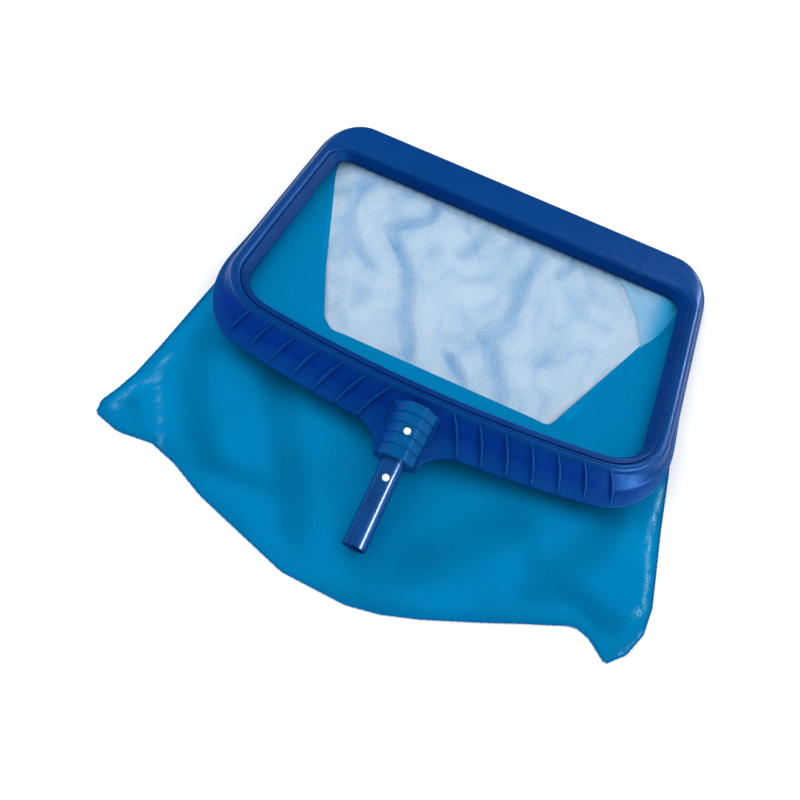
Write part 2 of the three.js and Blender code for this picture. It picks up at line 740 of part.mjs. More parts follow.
function buildSeam(points) {
  const width = 2.6;
  return openLoft(points.map((p, i) => {
    const a = points[Math.max(0, i - 1)];
    const b = points[Math.min(points.length - 1, i + 1)];
    const out = new THREE.Vector2(-(b.y - a.y), b.x - a.x).normalize();
    if (out.x * p.x + out.y * (p.y + 100) < 0) {
      out.negate();
    }
    const inner = [p.x + out.x * 0.9, p.y + out.y * 0.9];
    const outer = [p.x + out.x * (0.9 + width), p.y + out.y * (0.9 + width)];
    return [
      v3(...inner, 0.1), v3(...outer, 0.1), v3(...outer, 2.5), v3(...inner, 2.5),
    ];
  }), (p) => new THREE.Vector2(p.x * 0.6 + p.y * 0.8, p.z));
}

// ---------------------------------------------------------------- assembly
function named(name, geometry, kind, rest = true) {
  if (rest) {
    geometry.applyMatrix4(REST);
  }
  const flat = geometry.index ? geometry.toNonIndexed() : geometry;
  flat.deleteAttribute('uv');
  flat.computeVertexNormals();
  const [color, roughness, metalness] = COLOUR[kind];
  const material = new THREE.MeshStandardMaterial({ color, roughness, metalness });
  const mesh = new THREE.Mesh(flat, material);
  mesh.name = name;
  return mesh;
}

function build() {
  const group = new THREE.Group();
  group.name = 'leaf_skimmer_net';
  const add = (...args) => group.add(named(...args));
  add('frame_moulding', buildFrame(), 'frame');
  add('retaining_ring', buildRing(), 'ring');
  add('socket_sleeve', buildSleeve(), 'sleeve');
  add('spigot_tube', buildTube(), 'tube');
  add('spring_bend', buildSpringBend(), 'spring');
  for (const [word, side] of [['top', 1], ['bottom', -1]]) {
    add(`spring_leg_${word}`, buildSpringLeg(side), 'spring');
    add(`button_socket_${word}`,
      buildButton(BUTTON_SOCKET_R, BUTTON_SOCKET_AT, BUTTON_SOCKET_TOP, side), 'button');
    add(`button_pole_${word}`,
      buildButton(BUTTON_POLE_R, BUTTON_POLE_AT, BUTTON_POLE_TOP, side), 'button');
  }
  add('mouth_hem', buildHem(), 'hem');
  add('hem_cord', buildCord(), 'cord');
  add('bag_floor_panel', buildFloorPanel(), 'net', false);
  add('bag_top_panel', buildTopPanel(), 'net', false);
  add('bag_gusset_left', buildGusset(-1), 'net', false);
  add('bag_gusset_right', buildGusset(1), 'net', false);
  const outline = BAG_OUTLINE.map(([x, y]) => new THREE.Vector2(x, y));
  const end = outlineEdge(CORNER_LEFT, CORNER_RIGHT, END_STEPS);
  add('seam_end', buildSeam(end), 'hem', false);
  add('seam_left', buildSeam(outline.slice(0, CORNER_LEFT)), 'hem', false);
  add('seam_right', buildSeam(outline.slice(CORNER_RIGHT + 1)), 'hem', false);
  return group;
}

export default build();
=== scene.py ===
# Leaf skimmer net: smooth moulded frame, clip sleeve, spigot tube and the draped net bag.
# Section and outline numbers are millimetres; meshes are written in metres.
import math
from collections import namedtuple

import bmesh
import bpy
from mathutils import Matrix, Vector, noise


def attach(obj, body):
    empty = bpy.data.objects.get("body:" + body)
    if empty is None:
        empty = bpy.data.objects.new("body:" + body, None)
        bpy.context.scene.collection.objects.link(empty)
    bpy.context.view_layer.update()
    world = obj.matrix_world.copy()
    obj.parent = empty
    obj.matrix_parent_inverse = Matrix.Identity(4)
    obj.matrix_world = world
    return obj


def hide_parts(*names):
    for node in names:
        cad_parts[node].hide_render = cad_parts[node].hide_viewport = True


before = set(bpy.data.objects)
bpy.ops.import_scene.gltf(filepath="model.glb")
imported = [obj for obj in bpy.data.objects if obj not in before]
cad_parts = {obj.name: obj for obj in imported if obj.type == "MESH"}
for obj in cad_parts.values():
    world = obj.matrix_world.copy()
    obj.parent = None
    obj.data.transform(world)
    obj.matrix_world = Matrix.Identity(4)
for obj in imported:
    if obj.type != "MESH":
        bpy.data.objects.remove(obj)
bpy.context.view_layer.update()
MM = 0.001

# ---- dimensions
GAP = 0.3
TILT = math.radians(-5.6)
LIFT = 39.1
MOUTH_HALF_W = 235.0
MOUTH_FAR_Y = 157.0
MOUTH_NEAR_Y = -150.0
FAR_RADIUS = 22.0
NEAR_RADIUS = 50.0
NEAR_CENTRE = (185.0, -87.2)
NEAR_BOW = 0.00036
NEAR_ARC_END = 82.4
NEAR_START = 0.14  # share of the near section where the near corner begins
BOW_END_X = 191  # the bowed handle side runs this far each way, then the corner begins

FRAME_SIDE = [
    (11.7, -1.5), (13.2, 0.6), (16.2, 2.0), (17.0, 2.3), (17.6, 2.4), (18.2, 2.4),
    (19.0, 2.35), (19.8, 2.2), (23.2, 0.8), (25.4, -2.0),
    (26.2, -6.6), (30.0, -7.4), (30.0, -9.8), (26.4, -10.4), (26.0, -22.0), (23.4, -22.0),
    (23.0, -11.0), (11.7, -11.0),
]
FRAME_FAR = [
    (4.9, -0.1), (6.5, 0.8), (14.0, 2.4), (16.0, 2.96), (18.0, 3.5), (20.0, 4.0),
    (22.0, 4.6), (24.0, 5.2), (34.0, 8.2), (42.0, 10.8),
    (46.0, 12.2), (47.4, 11.8), (47.0, 10.0), (19.5, -2.0), (18.0, -22.0), (15.4, -22.0),
    (15.0, -11.0), (4.9, -11.0),
]
FRAME_NEAR = [
    (8.5, -3.0), (9.6, -0.8), (10.6, 0.2), (12.0, 0.3), (12.6, -0.9), (13.6, -0.9),
    (14.2, 0.1), (15.8, 0.0), (17.4, -1.8), (19.0, -6.0),
    (33.0, -16.8), (50.0, -23.2), (50.0, -26.0), (25.6, -15.6), (23.0, -22.0), (20.4, -22.0),
    (20.0, -11.0), (8.5, -11.0),
]
FRAME_ROUND = [
    0.7, 2.4, 1.0, 0.6, 0.4, 0.4, 0.6, 1.4, 3.0, 2.6, 1.8, 0.9, 0.9, 1.2, 0.8, 0.8, 0.8, 0.6,
]
APRON_TOP = 11
APRON_BOTTOM = 12
APRON_BOW = 6.0
WEB_REACH = 31.0
WEB_DROP = 4.5
WEB_PROFILE = [
    (0, 1), (21, 1), (24, 0.75), (27, 0.52), (34, 0.28), (41, 0.15), (48, 0.06), (57, 0),
]
RING_SIDE = [
    (0.0, -12.5), (0.4, -11.2), (9.6, -2.2), (11.4, -1.6), (11.4, -17.0), (8.6, -17.0),
    (7.8, -12.5),
]
RING_FAR = [
    (0.0, -12.5), (0.2, -11.2), (2.6, -0.9), (4.6, -0.3), (4.6, -17.0), (1.9, -17.0),
    (1.6, -12.5),
]
RING_NEAR = [
    (0.6, -12.5), (0.0, -1.6), (1.6, 0.2), (8.0, -0.3), (8.2, -17.0), (5.4, -17.0),
    (4.8, -12.5),
]
RING_ROUND = [0.6, 0.9, 1.2, 0.6, 0.5, 0.5, 0.6]
HEM_SIDE_U = 17.2
HEM_FAR_U = 9.8
HEM_NEAR_U = 14.1
HEM_Z = -16.0
HEM_R = 3.5
CORD_R = 2.0
HEM_CLEAR = 0.4  # the panels start this far below the hem

RIB_COUNT = 7
RIB_FIRST = 34.0
RIB_PITCH = 28.6
RIB_FOOT_X = [56, 82, 109, 136, 164, 191, 219]
RIB_FOOT_Y = [-203, -200, -197, -193, -187.5, -181.5, -174]
RIB_THICK = 1.9
RIB_HEAD = (16.5, -0.9)  # distance out from the mouth, height
RIB_FOOT = (2.4, -20.6)
RIB_CROWN = 0.4
RIB_DEPTH = [(0, 5.2), (0.5, 9.2), (1, 6.4)]
RIB_STEPS = 12

AXIS_ORIGIN = Vector((0.0, -236.7, -27.0))
AXIS_SLOPE = math.radians(17)
SLEEVE_BACK = -60.0
SLEEVE_BANDS = 5
SLEEVE_R_BACK = 22.0
SLEEVE_R_FRONT = 20.0
SLEEVE_GROOVE = 1.0
CRADLE_WALL = 3.4
TUBE_R = 12.7
TUBE_WALL = 1.4
TUBE_BACK = -57.0
TUBE_TIP = 96.0
SOCKET_BUTTON = (4.0, -29.0, 21.6)  # radius, place along the axis, top
POLE_BUTTON = (3.75, 22.0, 15.3)
SPRING_BEND_AT = 82.0
SPRING_BEND_R = 4.0
SPRING_END = -38.0
SPRING_END_R = 9.6

BAG_OUTLINE = [
    (-255, 60), (-264, 0), (-272, -60), (-278, -140), (-283, -210), (-287, -250),
    (-293, -276), (-299, -295), (-296, -308), (-268, -316), (-231, -312), (-199, -322),
    (-160, -341), (-108, -358), (-53, -376), (15, -379), (49, -373), (85, -361),
    (140, -338), (176, -322), (228, -300), (246, -306), (266, -322), (282, -306),
    (293, -280), (295, -250), (292, -225), (284, -162), (277, -90), (266, -20), (256, 60),
]
CORNER_LEFT = 8
CORNER_RIGHT = 22
END_STEPS = 18
GUSSET_HEM = [-38, -24, -10, -78, -60, -38, -8, 30, 70, 104, 133]
GUSSET_FOLD_Y = [-90, -84, -76, -66, -52, -28, 4, 40, 74, 103, 134]
FOLD_NEAR_Y = -98.5
FOLD_LEFT = [(-93, -140), (-85, -147), (-19, -176), (133, -233), (150, -236)]
FOLD_RIGHT = [(-93, 139), (72, 208), (140, 231), (160, 236)]

# valleys in the fine floor net: (depth, half width, points on the floor)
VALLEYS = [
    (3.2, 6, [(-185, 146), (-191, 117), (-188, 81), (-178, 55), (-155, 28), (-134, 12),
              (-112, 8)]),
    (4.6, 6, [(-99, 158), (-93, 134), (-98, 115), (-118, 95), (-128, 78), (-119, 61),
              (-95, 35), (-76, -2), (-60, -47), (-40, -88), (-29, -108), (-26, -116)]),
    (3.0, 6, [(-25, 144), (-24, 123), (-33, 92), (-44, 73)]),
    (4.4, 6.5, [(49, 146), (52, 123), (48, 90), (49, 61), (48, 37), (48, 15), (36, -9),
                (33, -21), (47, -35), (56, -56), (66, -71), (76, -100), (80, -112)]),
    (3.4, 5, [(94, 163), (93, 144), (85, 124), (86, 107)]),
    (3.6, 5, [(-2, -63), (14, -79), (27, -90), (36, -108), (38, -116)]),
    (1.8, 5, [(13, 153), (18, 138), (14, 120), (25, 106)]),
    (1.8, 5, [(-56, 157), (-47, 141), (-45, 116)]),
    (2.0, 5, [(-132, 157), (-146, 134), (-156, 122)]),
    (1.4, 6, [(-172, -21), (-151, -27), (-125, -31), (-103, -27), (-86, -8)]),
    (1.4, 6, [(-149, -63), (-133, -76), (-121, -86)]),
    (1.2, 5, [(-87, -80), (-84, -54), (-69, -48)]),
    (1.2, 6, [(-48, 48), (-29, 45), (0, 62), (21, 94)]),
    (1.3, 6, [(-15, -13), (0, 5), (20, 26), (33, 38)]),
    (1.3, 6, [(-18, -41), (1, -44), (13, -32)]),
    (1.3, 6, [(112, 143), (132, 137), (147, 151), (149, 110), (149, 90)]),
    (1.4, 6, [(125, 0), (130, 20), (147, 21), (160, 22)]),
    (1.2, 6, [(120, 65), (147, 71), (171, 66)]),
    (1.3, 6, [(195, 34), (189, 5), (167, -28)]),
    (1.4, 9, [(106, 114), (112, 69), (104, 2), (113, -37)]),
    (1.4, 6, [(-221, 98), (-207, 118), (-200, 145)]),
]
# soft creases in the upper cloth: (depth, half width, points)
CREASES = [
    (2.2, 15, [(-153, -194), (-122, -237), (-93, -283), (-64, -327), (-39, -366)]),
    (1.6, 13, [(-247, -187), (-220, -247), (-185, -294), (-170, -313)]),
    (1.4, 9, [(-221, -320), (-189, -316), (-157, -311), (-121, -307), (-85, -303)]),
    (1.4, 8, [(-271, -286), (-253, -307), (-236, -321)]),
    (1.8, 15, [(230, -178), (223, -211), (204, -244), (193, -277), (183, -290)]),
    (1.8, 12, [(170, -262), (189, -267), (216, -273), (240, -282), (267, -288)]),
    (2.0, 20, [(21, -352), (48, -323), (80, -295), (138, -231)]),
]

# places where the stretched yarns catch the light: (strength, half width, points)
GLINTS = [
    (1.1, 2.6, [(277, -112), (275, -143), (275, -170), (276, -190)]),
    (0.9, 2.4, [(276, -190), (284, -219), (288, -248), (282, -267)]),
    (0.9, 2.2, [(295, -278), (291, -292), (282, -305), (278, -317)]),
    (0.4, 3, [(-267, -218), (-270, -231), (-266, -251), (-281, -270), (-285, -296)]),
    (0.25, 2, [(-271, -234), (-240, -285), (-218, -319)]),
]

# ---- small helpers


def mix(a, b, t):
    return a + (b - a) * t


def smooth(t):
    s = min(1.0, max(0.0, t))
    return s * s * (3 - 2 * s)


def table(rows, x):
    for (x0, y0), (x1, y1) in zip(rows, rows[1:]):
        if x <= x1:
            return mix(y0, y1, (x - x0) / (x1 - x0))
    return rows[-1][1]


def rest(p):
    """A point of the frame's own plane, turned and lifted to where it stands."""
    c, s = math.cos(TILT), math.sin(TILT)
    x, y, z = p
    return Vector((x, y * c - z * s, y * s + z * c + LIFT))


def catmull(points, t):
    """Smooth curve through a list of vectors; t runs from 0 to len - 1."""
    i = min(len(points) - 2, int(t))
    u = t - i
    p1, p2 = points[i], points[i + 1]
    p0 = points[i - 1] if i else p1 + (p1 - p2)
    p3 = points[i + 2] if i + 2 < len(points) else p2 + (p2 - p1)
    return 0.5 * (
        2 * p1 + (p2 - p0) * u + (2 * p0 - 5 * p1 + 4 * p2 - p3) * u * u
        + (3 * p1 - p0 - 3 * p2 + p3) * u ** 3
    )


def rounded(section, radii, steps=4):
    """A closed section with each corner turned into a short curve."""
    out = []
    count = len(section)
    for i, corner in enumerate(section):
        here = Vector(corner)
        to_last = Vector(section[i - 1]) - here
        to_next = Vector(section[(i + 1) % count]) - here
        reach = min(radii[i], 0.46 * to_last.length, 0.46 * to_next.length)
        start = here + to_last.normalized() * reach
        end = here + to_next.normalized() * reach
        for k in range(steps + 1):
            t = k / steps
            out.append(start * (1 - t) ** 2 + here * (2 * t * (1 - t)) + end * t * t)
    return out


def distance(x, y, line):
    """Distance to a polyline and how far along it, 0 to 1, the nearest place is."""
    best, place = 1e9, 0.0
    for i, ((x0, y0), (x1, y1)) in enumerate(zip(line, line[1:])):
        dx, dy = x1 - x0, y1 - y0
        t = ((x - x0) * dx + (y - y0) * dy) / (dx * dx + dy * dy)
        t = min(1.0, max(0.0, t))
        d = math.hypot(x - x0 - dx * t, y - y0 - dy * t)
        if d < best:
            best, place = d, (i + t) / (len(line) - 1)
    return best, place


def smoothed(line, parts=5):
    points = [Vector(p) for p in line]
    total = (len(points) - 1) * parts
    return [tuple(catmull(points, min(len(points) - 1.0001, i / parts))) for i in range(total + 1)]


# ---- mesh makers


def make(name, points, faces, material=None, sharp=35, uv=None):
    mesh = bpy.data.meshes.new(name)
    mesh.from_pydata([tuple(Vector(p) * MM) for p in points], [], faces)
    mesh.validate()
    mesh.update()
    if uv is not None:
        layer = mesh.uv_layers.new(name="cloth")
        for loop in mesh.loops:
            layer.data[loop.index].uv = uv[loop.vertex_index]
    obj = bpy.data.objects.new(name, mesh)
    bpy.context.scene.collection.objects.link(obj)
    if material is not None:
        mesh.materials.append(material)
    finish_normals(obj, sharp)
    return obj


def finish_normals(obj, sharp):
    for poly in obj.data.polygons:
        poly.use_smooth = True
    obj.data.set_sharp_from_angle(angle=math.radians(sharp))


def surface(obj, material, sharp):
    obj.data.materials.clear()
    obj.data.materials.append(material)
    finish_normals(obj, sharp)


def merge_points(obj, dist):
    bm = bmesh.new()
    bm.from_mesh(obj.data)
    bmesh.ops.remove_doubles(bm, verts=bm.verts, dist=dist)
    bm.to_mesh(obj.data)
    bm.free()


def outward(obj):
    bm = bmesh.new()
    bm.from_mesh(obj.data)
    bmesh.ops.recalc_face_normals(bm, faces=bm.faces)
    bm.to_mesh(obj.data)
    bm.free()


def loft(name, sections, closed=False, **rest_of):
    """Skin over rings of points: a closed loop of rings, or a run of rings with end caps."""
    count, rings = len(sections[0]), len(sections)
    faces = []
    for i in range(rings if closed else rings - 1):
        n = (i + 1) % rings
        for j in range(count):
            k = (j + 1) % count
            faces.append((i * count + j, n * count + j, n * count + k, i * count + k))
    if not closed:
        last = (rings - 1) * count
        faces.append(tuple(range(count)))
        faces.append(tuple(range(last + count - 1, last - 1, -1)))
    obj = make(name, [p for s in sections for p in s], faces, **rest_of)
    outward(obj)
    return obj


def grid_faces(lines, count):
    """Quads between neighbouring lines of count points each."""
    return [(a, a + count, a + count + 1, a + 1)
            for line in range(lines) for a in range(line * count, line * count + count - 1)]


def lathe(name, profile, segments, place, **rest_of):
    """Turned solid: profile is (radius, height) from axis to axis, place maps to space."""
    points, faces, rings = [], [], []
    for r, h in profile:
        if r < 1e-6:
            rings.append([len(points)])
            points.append(place(0, 0, h))
            continue
        rings.append(list(range(len(points), len(points) + segments)))
        for i in range(segments):
            a = 2 * math.pi * i / segments
            points.append(place(r * math.cos(a), r * math.sin(a), h))
    for one, two in zip(rings, rings[1:]):
        for i in range(segments):
            k = (i + 1) % segments
            quad = [one[i % len(one)], one[k % len(one)], two[k % len(two)], two[i % len(two)]]
            face = list(dict.fromkeys(quad))
            if len(face) > 2:
                faces.append(tuple(face))
    obj = make(name, points, faces, **rest_of)
    outward(obj)
    return obj


def shaded(obj, values=None):
    """Painted shade: a vertex attribute the materials multiply their colour by."""
    layer = obj.data.attributes.new("shade", "FLOAT", "POINT")
    for i, item in enumerate(layer.data):
        item.value = 1.0 if values is None else values[i]


def carve(obj, other, how):
    mod = obj.modifiers.new(how, "BOOLEAN")
    mod.operation = how
    mod.object = other
    mod.solver = "MANIFOLD"
    depsgraph = bpy.context.evaluated_depsgraph_get()
    mesh = bpy.data.meshes.new_from_object(obj.evaluated_get(depsgraph))
    obj.modifiers.clear()
    old = obj.data
    obj.data = mesh
    mesh.name = obj.name
    bpy.data.meshes.remove(old)
    bpy.data.objects.remove(other)
    return obj


# ---- socket space
AXIS_U = Vector((0, -math.cos(AXIS_SLOPE), -math.sin(AXIS_SLOPE)))
AXIS_N = Vector((0, -math.sin(AXIS_SLOPE), math.cos(AXIS_SLOPE)))


def socket(x, a, b):
    """x across, a out along the handle axis, b towards its upper side."""
    return rest(AXIS_ORIGIN + Vector((-x, 0, 0)) + AXIS_U * a + AXIS_N * b)


def along_axis(x, y, h):
    return socket(x, h, y)


def across_axis(at):
    return lambda x, y, h: socket(x, at + y, h)


def octagon(apothem, round_by, steps=4):
    grow = apothem / math.cos(math.pi / 8)
    corners = [
        (grow * math.cos(math.pi / 8 + i * math.pi / 4),
         grow * math.sin(math.pi / 8 + i * math.pi / 4)) for i in range(8)
    ]
    return rounded(corners, [round_by] * 8, steps)


# ---- materials


def nodes_of(name):
    material = bpy.data.materials.new(name)
    material.use_nodes = True
    tree = material.node_tree
    tree.nodes.clear()
    out = new(tree, "OutputMaterial")
    shader = new(tree, "BsdfPrincipled")
    tree.links.new(shader.outputs[0], out.inputs[0])
    return material, tree, shader


def wire(made, **values):
    """Set a node's inputs: a socket is linked, anything else becomes the fixed value."""
    for key, value in values.items():
        socket_in = made.inputs[key.replace("_", " ")]
        if isinstance(value, bpy.types.NodeSocket):
            made.id_data.links.new(value, socket_in)
        else:
            socket_in.default_value = value


def new(tree, kind, **values):
    made = tree.nodes.new("ShaderNode" + kind)
    wire(made, **values)
    return made


def object_coords(tree):
    return new(tree, "TexCoord").outputs["Object"]


def attribute(tree, name):
    made = new(tree, "Attribute")
    made.attribute_name = name
    return made.outputs["Fac"]


def layered(tree, factor, a, b, how="MIX"):
    """Colour a with colour b over it. factor and b are each a socket or a fixed value."""
    made = new(tree, "Mix")
    made.data_type = "RGBA"
    made.blend_type = how
    wire(made, Factor=factor, A=a, B=b)
    return made.outputs["Result"]


def noise_node(tree, coords, scale, detail=3.0, rough=0.55):
    return new(tree, "TexNoise", Scale=scale, Detail=detail, Roughness=rough,
               Vector=coords).outputs["Fac"]


def maths(tree, how, a, b=None, c=None, clamp=False):
    made = new(tree, "Math")
    made.operation = how
    made.use_clamp = clamp
    for i, value in enumerate((a, b, c)):
        if value is None:
            continue
        if isinstance(value, (int, float)):
            made.inputs[i].default_value = value
        else:
            tree.links.new(value, made.inputs[i])
    return made.outputs[0]


def remap(tree, value, a, b, c, d):
    made = new(tree, "MapRange")
    for i, v in enumerate((a, b, c, d)):
        made.inputs[i + 1].default_value = v
    tree.links.new(value, made.inputs[0])
    return made.outputs[0]


def ramp(tree, value, stops):
    made = new(tree, "ValToRGB")
    elements = made.color_ramp.elements
    while len(elements) < len(stops):
        elements.new(0.5)
    for element, (at, colour) in zip(elements, stops):
        element.position = at
        element.color = (*colour, 1)
    tree.links.new(value, made.inputs[0])
    return made.outputs[0]


def bump(tree, shader, height, strength, depth):
    made = new(tree, "Bump", Strength=strength, Distance=depth, Height=height)
    wire(shader, Normal=made.outputs[0])


def plastic(name, dark, light, rough=0.33, tint=(0.05, 0.4, 1.0), gloss=0.28, wear=0.4):
    """Moulded plastic: cloudy colour, fine grain and scuffed edges."""
    material, tree, shader = nodes_of(name)
    coords = object_coords(tree)
    cloud = noise_node(tree, coords, 9.0, 4.0)
    grain = noise_node(tree, coords, 900.0, 2.0)
    scuff = noise_node(tree, coords, 120.0, 6.0, 0.7)
    base = ramp(tree, cloud, [(0.3, dark), (0.7, light)])
    point = new(tree, "NewGeometry").outputs["Pointiness"]
    edge = remap(tree, point, 0.52, 0.6, 0.0, 1.0)
    edge = maths(tree, "MULTIPLY", edge, remap(tree, scuff, 0.4, 0.65, 0.0, wear), clamp=True)
    worn = (light[0] + 0.003, light[1] * 1.9, light[2] * 1.7, 1)
    base = layered(tree, edge, base, worn)
    # painted shade from the "shade" attribute: shaded pockets turn navy, green falls with the shade,
    # blue hardly changes
    shade = attribute(tree, "shade")
    blue = maths(tree, "MAXIMUM", maths(tree, "POWER", shade, -0.1), shade)
    painted_shade_colour = new(tree, "CombineColor", Red=shade, Green=shade, Blue=blue).outputs["Color"]
    wire(shader, Base_Color=layered(tree, 1.0, base, painted_shade_colour, "MULTIPLY"),
         Roughness=remap(tree, scuff, 0.35, 0.7, rough - 0.06, rough + 0.12),
         Specular_IOR_Level=gloss, Specular_Tint=(*tint, 1))
    mixed = maths(tree, "ADD", grain, maths(tree, "MULTIPLY", scuff, 0.7))
    bump(tree, shader, mixed, 0.16, 0.00012)
    return material


def metal(name, colour, rough, metallic):
    """Drawn and anodised tube: lengthwise drawing lines and a faint cloudy tone."""
    material, tree, shader = nodes_of(name)
    coords = object_coords(tree)
    drawn = new(tree, "Mapping", Scale=(900.0, 2.0, 900.0), Rotation=(AXIS_SLOPE - TILT, 0, 0),
                Vector=coords)
    lines = noise_node(tree, drawn.outputs[0], 1.0, 2.0)
    cloud = noise_node(tree, coords, 30.0, 3.0)
    dark = tuple(c * 0.72 for c in colour)
    wire(shader, Base_Color=ramp(tree, cloud, [(0.3, dark), (0.72, colour)]),
         Roughness=remap(tree, lines, 0.3, 0.7, rough - 0.05, rough + 0.08), Metallic=metallic,
         Specular_IOR_Level=0.2, Coat_Weight=0.6, Coat_Roughness=0.04)
    bump(tree, shader, lines, 0.05, 0.0001)
    return material


def cloth(name, thin, thick, pitch, cover, grain=0.2):
    """Knitted net of crossed yarns, two to each pitch, with gaps. The point attribute
    "gather" says how bunched the net is, with painted shade in the floor net's valleys;
    "shade" is painted shade that darkens folds; "glint" adds painted highlights as pale flecks."""
    material, tree, shader = nodes_of(name)
    uv = new(tree, "UVMap")
    uv.uv_map = "cloth"
    split = new(tree, "SeparateXYZ", Vector=uv.outputs[0])
    gather = attribute(tree, "gather")
    yarns = []
    for value in (split.outputs[0], split.outputs[1]):
        wave = maths(tree, "SINE", maths(tree, "MULTIPLY", value, 2 * math.pi / pitch))
        yarns.append(maths(tree, "ABSOLUTE", wave))
    yarn = maths(tree, "MAXIMUM", yarns[0], yarns[1])
    slub = noise_node(tree, uv.outputs[0], 620.0, 3.0, 0.7)
    cloud = noise_node(tree, uv.outputs[0], 14.0, 3.0, 0.5)
    weave = maths(tree, "ADD", yarn, maths(tree, "MULTIPLY", slub, 0.35))
    tone_and_shade = maths(tree, "ADD", remap(tree, cloud, 0.3, 0.7, -0.12, 0.12), gather)
    tone_and_shade = maths(tree, "ADD", tone_and_shade, remap(tree, weave, 0.6, 1.3, -0.08, 0.1))
    tone_and_shade = maths(tree, "ADD", tone_and_shade, remap(tree, slub, 0.35, 0.65, -grain, grain), clamp=True)
    colour = ramp(tree, tone_and_shade, [(0.0, thin), (1.0, thick)])
    # painted shade from the "shade" attribute, then painted highlights from "glint" as pale flecks
    dimmed = layered(tree, 1.0, colour, attribute(tree, "shade"), "MULTIPLY")
    painted_glint = maths(tree, "MULTIPLY", attribute(tree, "glint"),
                  remap(tree, slub, 0.44, 0.6, 0.0, 1.3), clamp=True)
    with_painted_glints = layered(tree, painted_glint, dimmed, (0.30, 0.62, 0.80, 1))
    # share of yarn: higher where the net is bunched
    open_share = remap(tree, gather, 0.0, 1.0, cover, min(1.0, cover + 0.45))
    spread = remap(tree, weave, 0.75, 1.25, -0.22, 0.22)
    wire(shader, Base_Color=with_painted_glints, Alpha=maths(tree, "ADD", open_share, spread, clamp=True),
         Roughness=0.62, Specular_IOR_Level=0.0, Specular_Tint=(0.3, 0.75, 1.0, 1),
         Sheen_Weight=0.02, Sheen_Roughness=0.4, Sheen_Tint=(0.25, 0.7, 1.0, 1))
    bump(tree, shader, weave, 0.35, 0.0003)
    return material


def floor_material():
    material, tree, shader = nodes_of("studio_floor")
    coords = object_coords(tree)
    cloud = noise_node(tree, coords, 6.0, 2.0)
    colour = ramp(tree, cloud, [(0.2, (0.90, 0.905, 0.91)), (0.8, (0.93, 0.93, 0.93))])
    wire(shader, Base_Color=colour, Roughness=0.9, Specular_IOR_Level=0.0)
    return material


FRAME_PLASTIC = plastic("frame_plastic", (0.0003, 0.035, 0.172), (0.0006, 0.045, 0.205))
RING_PLASTIC = plastic("ring_plastic", (0.0002, 0.024, 0.145), (0.0005, 0.034, 0.176), 0.45,
                       gloss=0.12)
SLEEVE_PLASTIC = plastic("sleeve_plastic", (0.0004, 0.056, 0.195), (0.001, 0.078, 0.250), 0.34)
BUTTON_PLASTIC = plastic("button_plastic", (0.66, 0.82, 0.86), (0.80, 0.92, 0.94), 0.3,
                         (1, 1, 1), 0.5, 0.0)
TUBE_METAL = metal("tube_metal", (0.001, 0.072, 0.30), 0.30, 0.3)
SPRING_METAL = metal("spring_metal", (0.42, 0.44, 0.47), 0.28, 1.0)
# the floor and corner nets' pale thin colours are partly painted light: the lit floor seen through a
# single layer, mixed into the blue yarn's colour
FLOOR_NET = cloth("floor_net_cloth", (0.43, 0.58, 0.73), (0.004, 0.21, 0.48), 0.0016, 0.64,
                  grain=0.3)
CORNER_NET = cloth("corner_net_cloth", (0.24, 0.46, 0.66), (0.015, 0.29, 0.56), 0.0016, 0.86,
                   grain=0.2)
TOP_NET = cloth("top_net_cloth", (0.0003, 0.182, 0.400), (0.0002, 0.116, 0.300), 0.0014, 0.985,
                grain=0.42)
HEM_CLOTH = cloth("hem_cloth_weave", (0.0006, 0.13, 0.34), (0.0004, 0.10, 0.28), 0.0012, 1.0)
CORD_CLOTH = cloth("cord_weave", (0.62, 0.67, 0.70), (0.5, 0.56, 0.6), 0.0016, 1.0)

# ---- mouth line


# a place on the mouth line, its outward direction, and its share of the far and near sections
station = namedtuple("station", "x y nx ny far near")


def half_mouth():
    out = []
    for i in range(20):
        out.append(station((MOUTH_HALF_W - FAR_RADIUS) * i / 20, MOUTH_FAR_Y, 0, 1, 1, 0))
    for i in range(19):
        a = math.radians(90 - 5 * i)
        out.append(station(
            MOUTH_HALF_W - FAR_RADIUS + FAR_RADIUS * math.cos(a),
            MOUTH_FAR_Y - FAR_RADIUS + FAR_RADIUS * math.sin(a),
            math.cos(a), math.sin(a), 1 - smooth(i / 18), 0))
    for i in range(1, 22):
        y = mix(MOUTH_FAR_Y - FAR_RADIUS, NEAR_CENTRE[1], i / 22)
        out.append(station(MOUTH_HALF_W, y, 1, 0, 0, NEAR_START * smooth((-30 - y) / 57)))
    for i in range(23):
        turned = NEAR_ARC_END * i / 22
        a = math.radians(-turned)
        out.append(station(
            NEAR_CENTRE[0] + NEAR_RADIUS * math.cos(a),
            NEAR_CENTRE[1] + NEAR_RADIUS * math.sin(a),
            math.cos(a), math.sin(a), 0, mix(NEAR_START, 1, smooth(turned / 78))))
    xs = [mix(190.0, 62.0, i / 20) for i in range(21)] + [mix(60.0, 0.0, i / 30) for i in range(31)]
    for x in xs:
        slope = 2 * NEAR_BOW * x
        length = math.hypot(slope, 1)
        out.append(station(x, MOUTH_NEAR_Y + NEAR_BOW * x * x, slope / length, -1 / length, 0, 1))
    return out


RIGHT_HALF = half_mouth()
STATIONS = RIGHT_HALF + [
    station(-s.x, s.y, -s.nx, s.ny, s.far, s.near)
    for s in reversed(RIGHT_HALF[1:-1])
]


def place(s, u, z):
    return rest((s.x + s.nx * u, s.y + s.ny * u, z))


def blended(s, side, far, near):
    r = 1 - s.far - s.near
    return [
        (a[0] * r + b[0] * s.far + c[0] * s.near, a[1] * r + b[1] * s.far + c[1] * s.near)
        for a, b, c in zip(side, far, near)
    ]


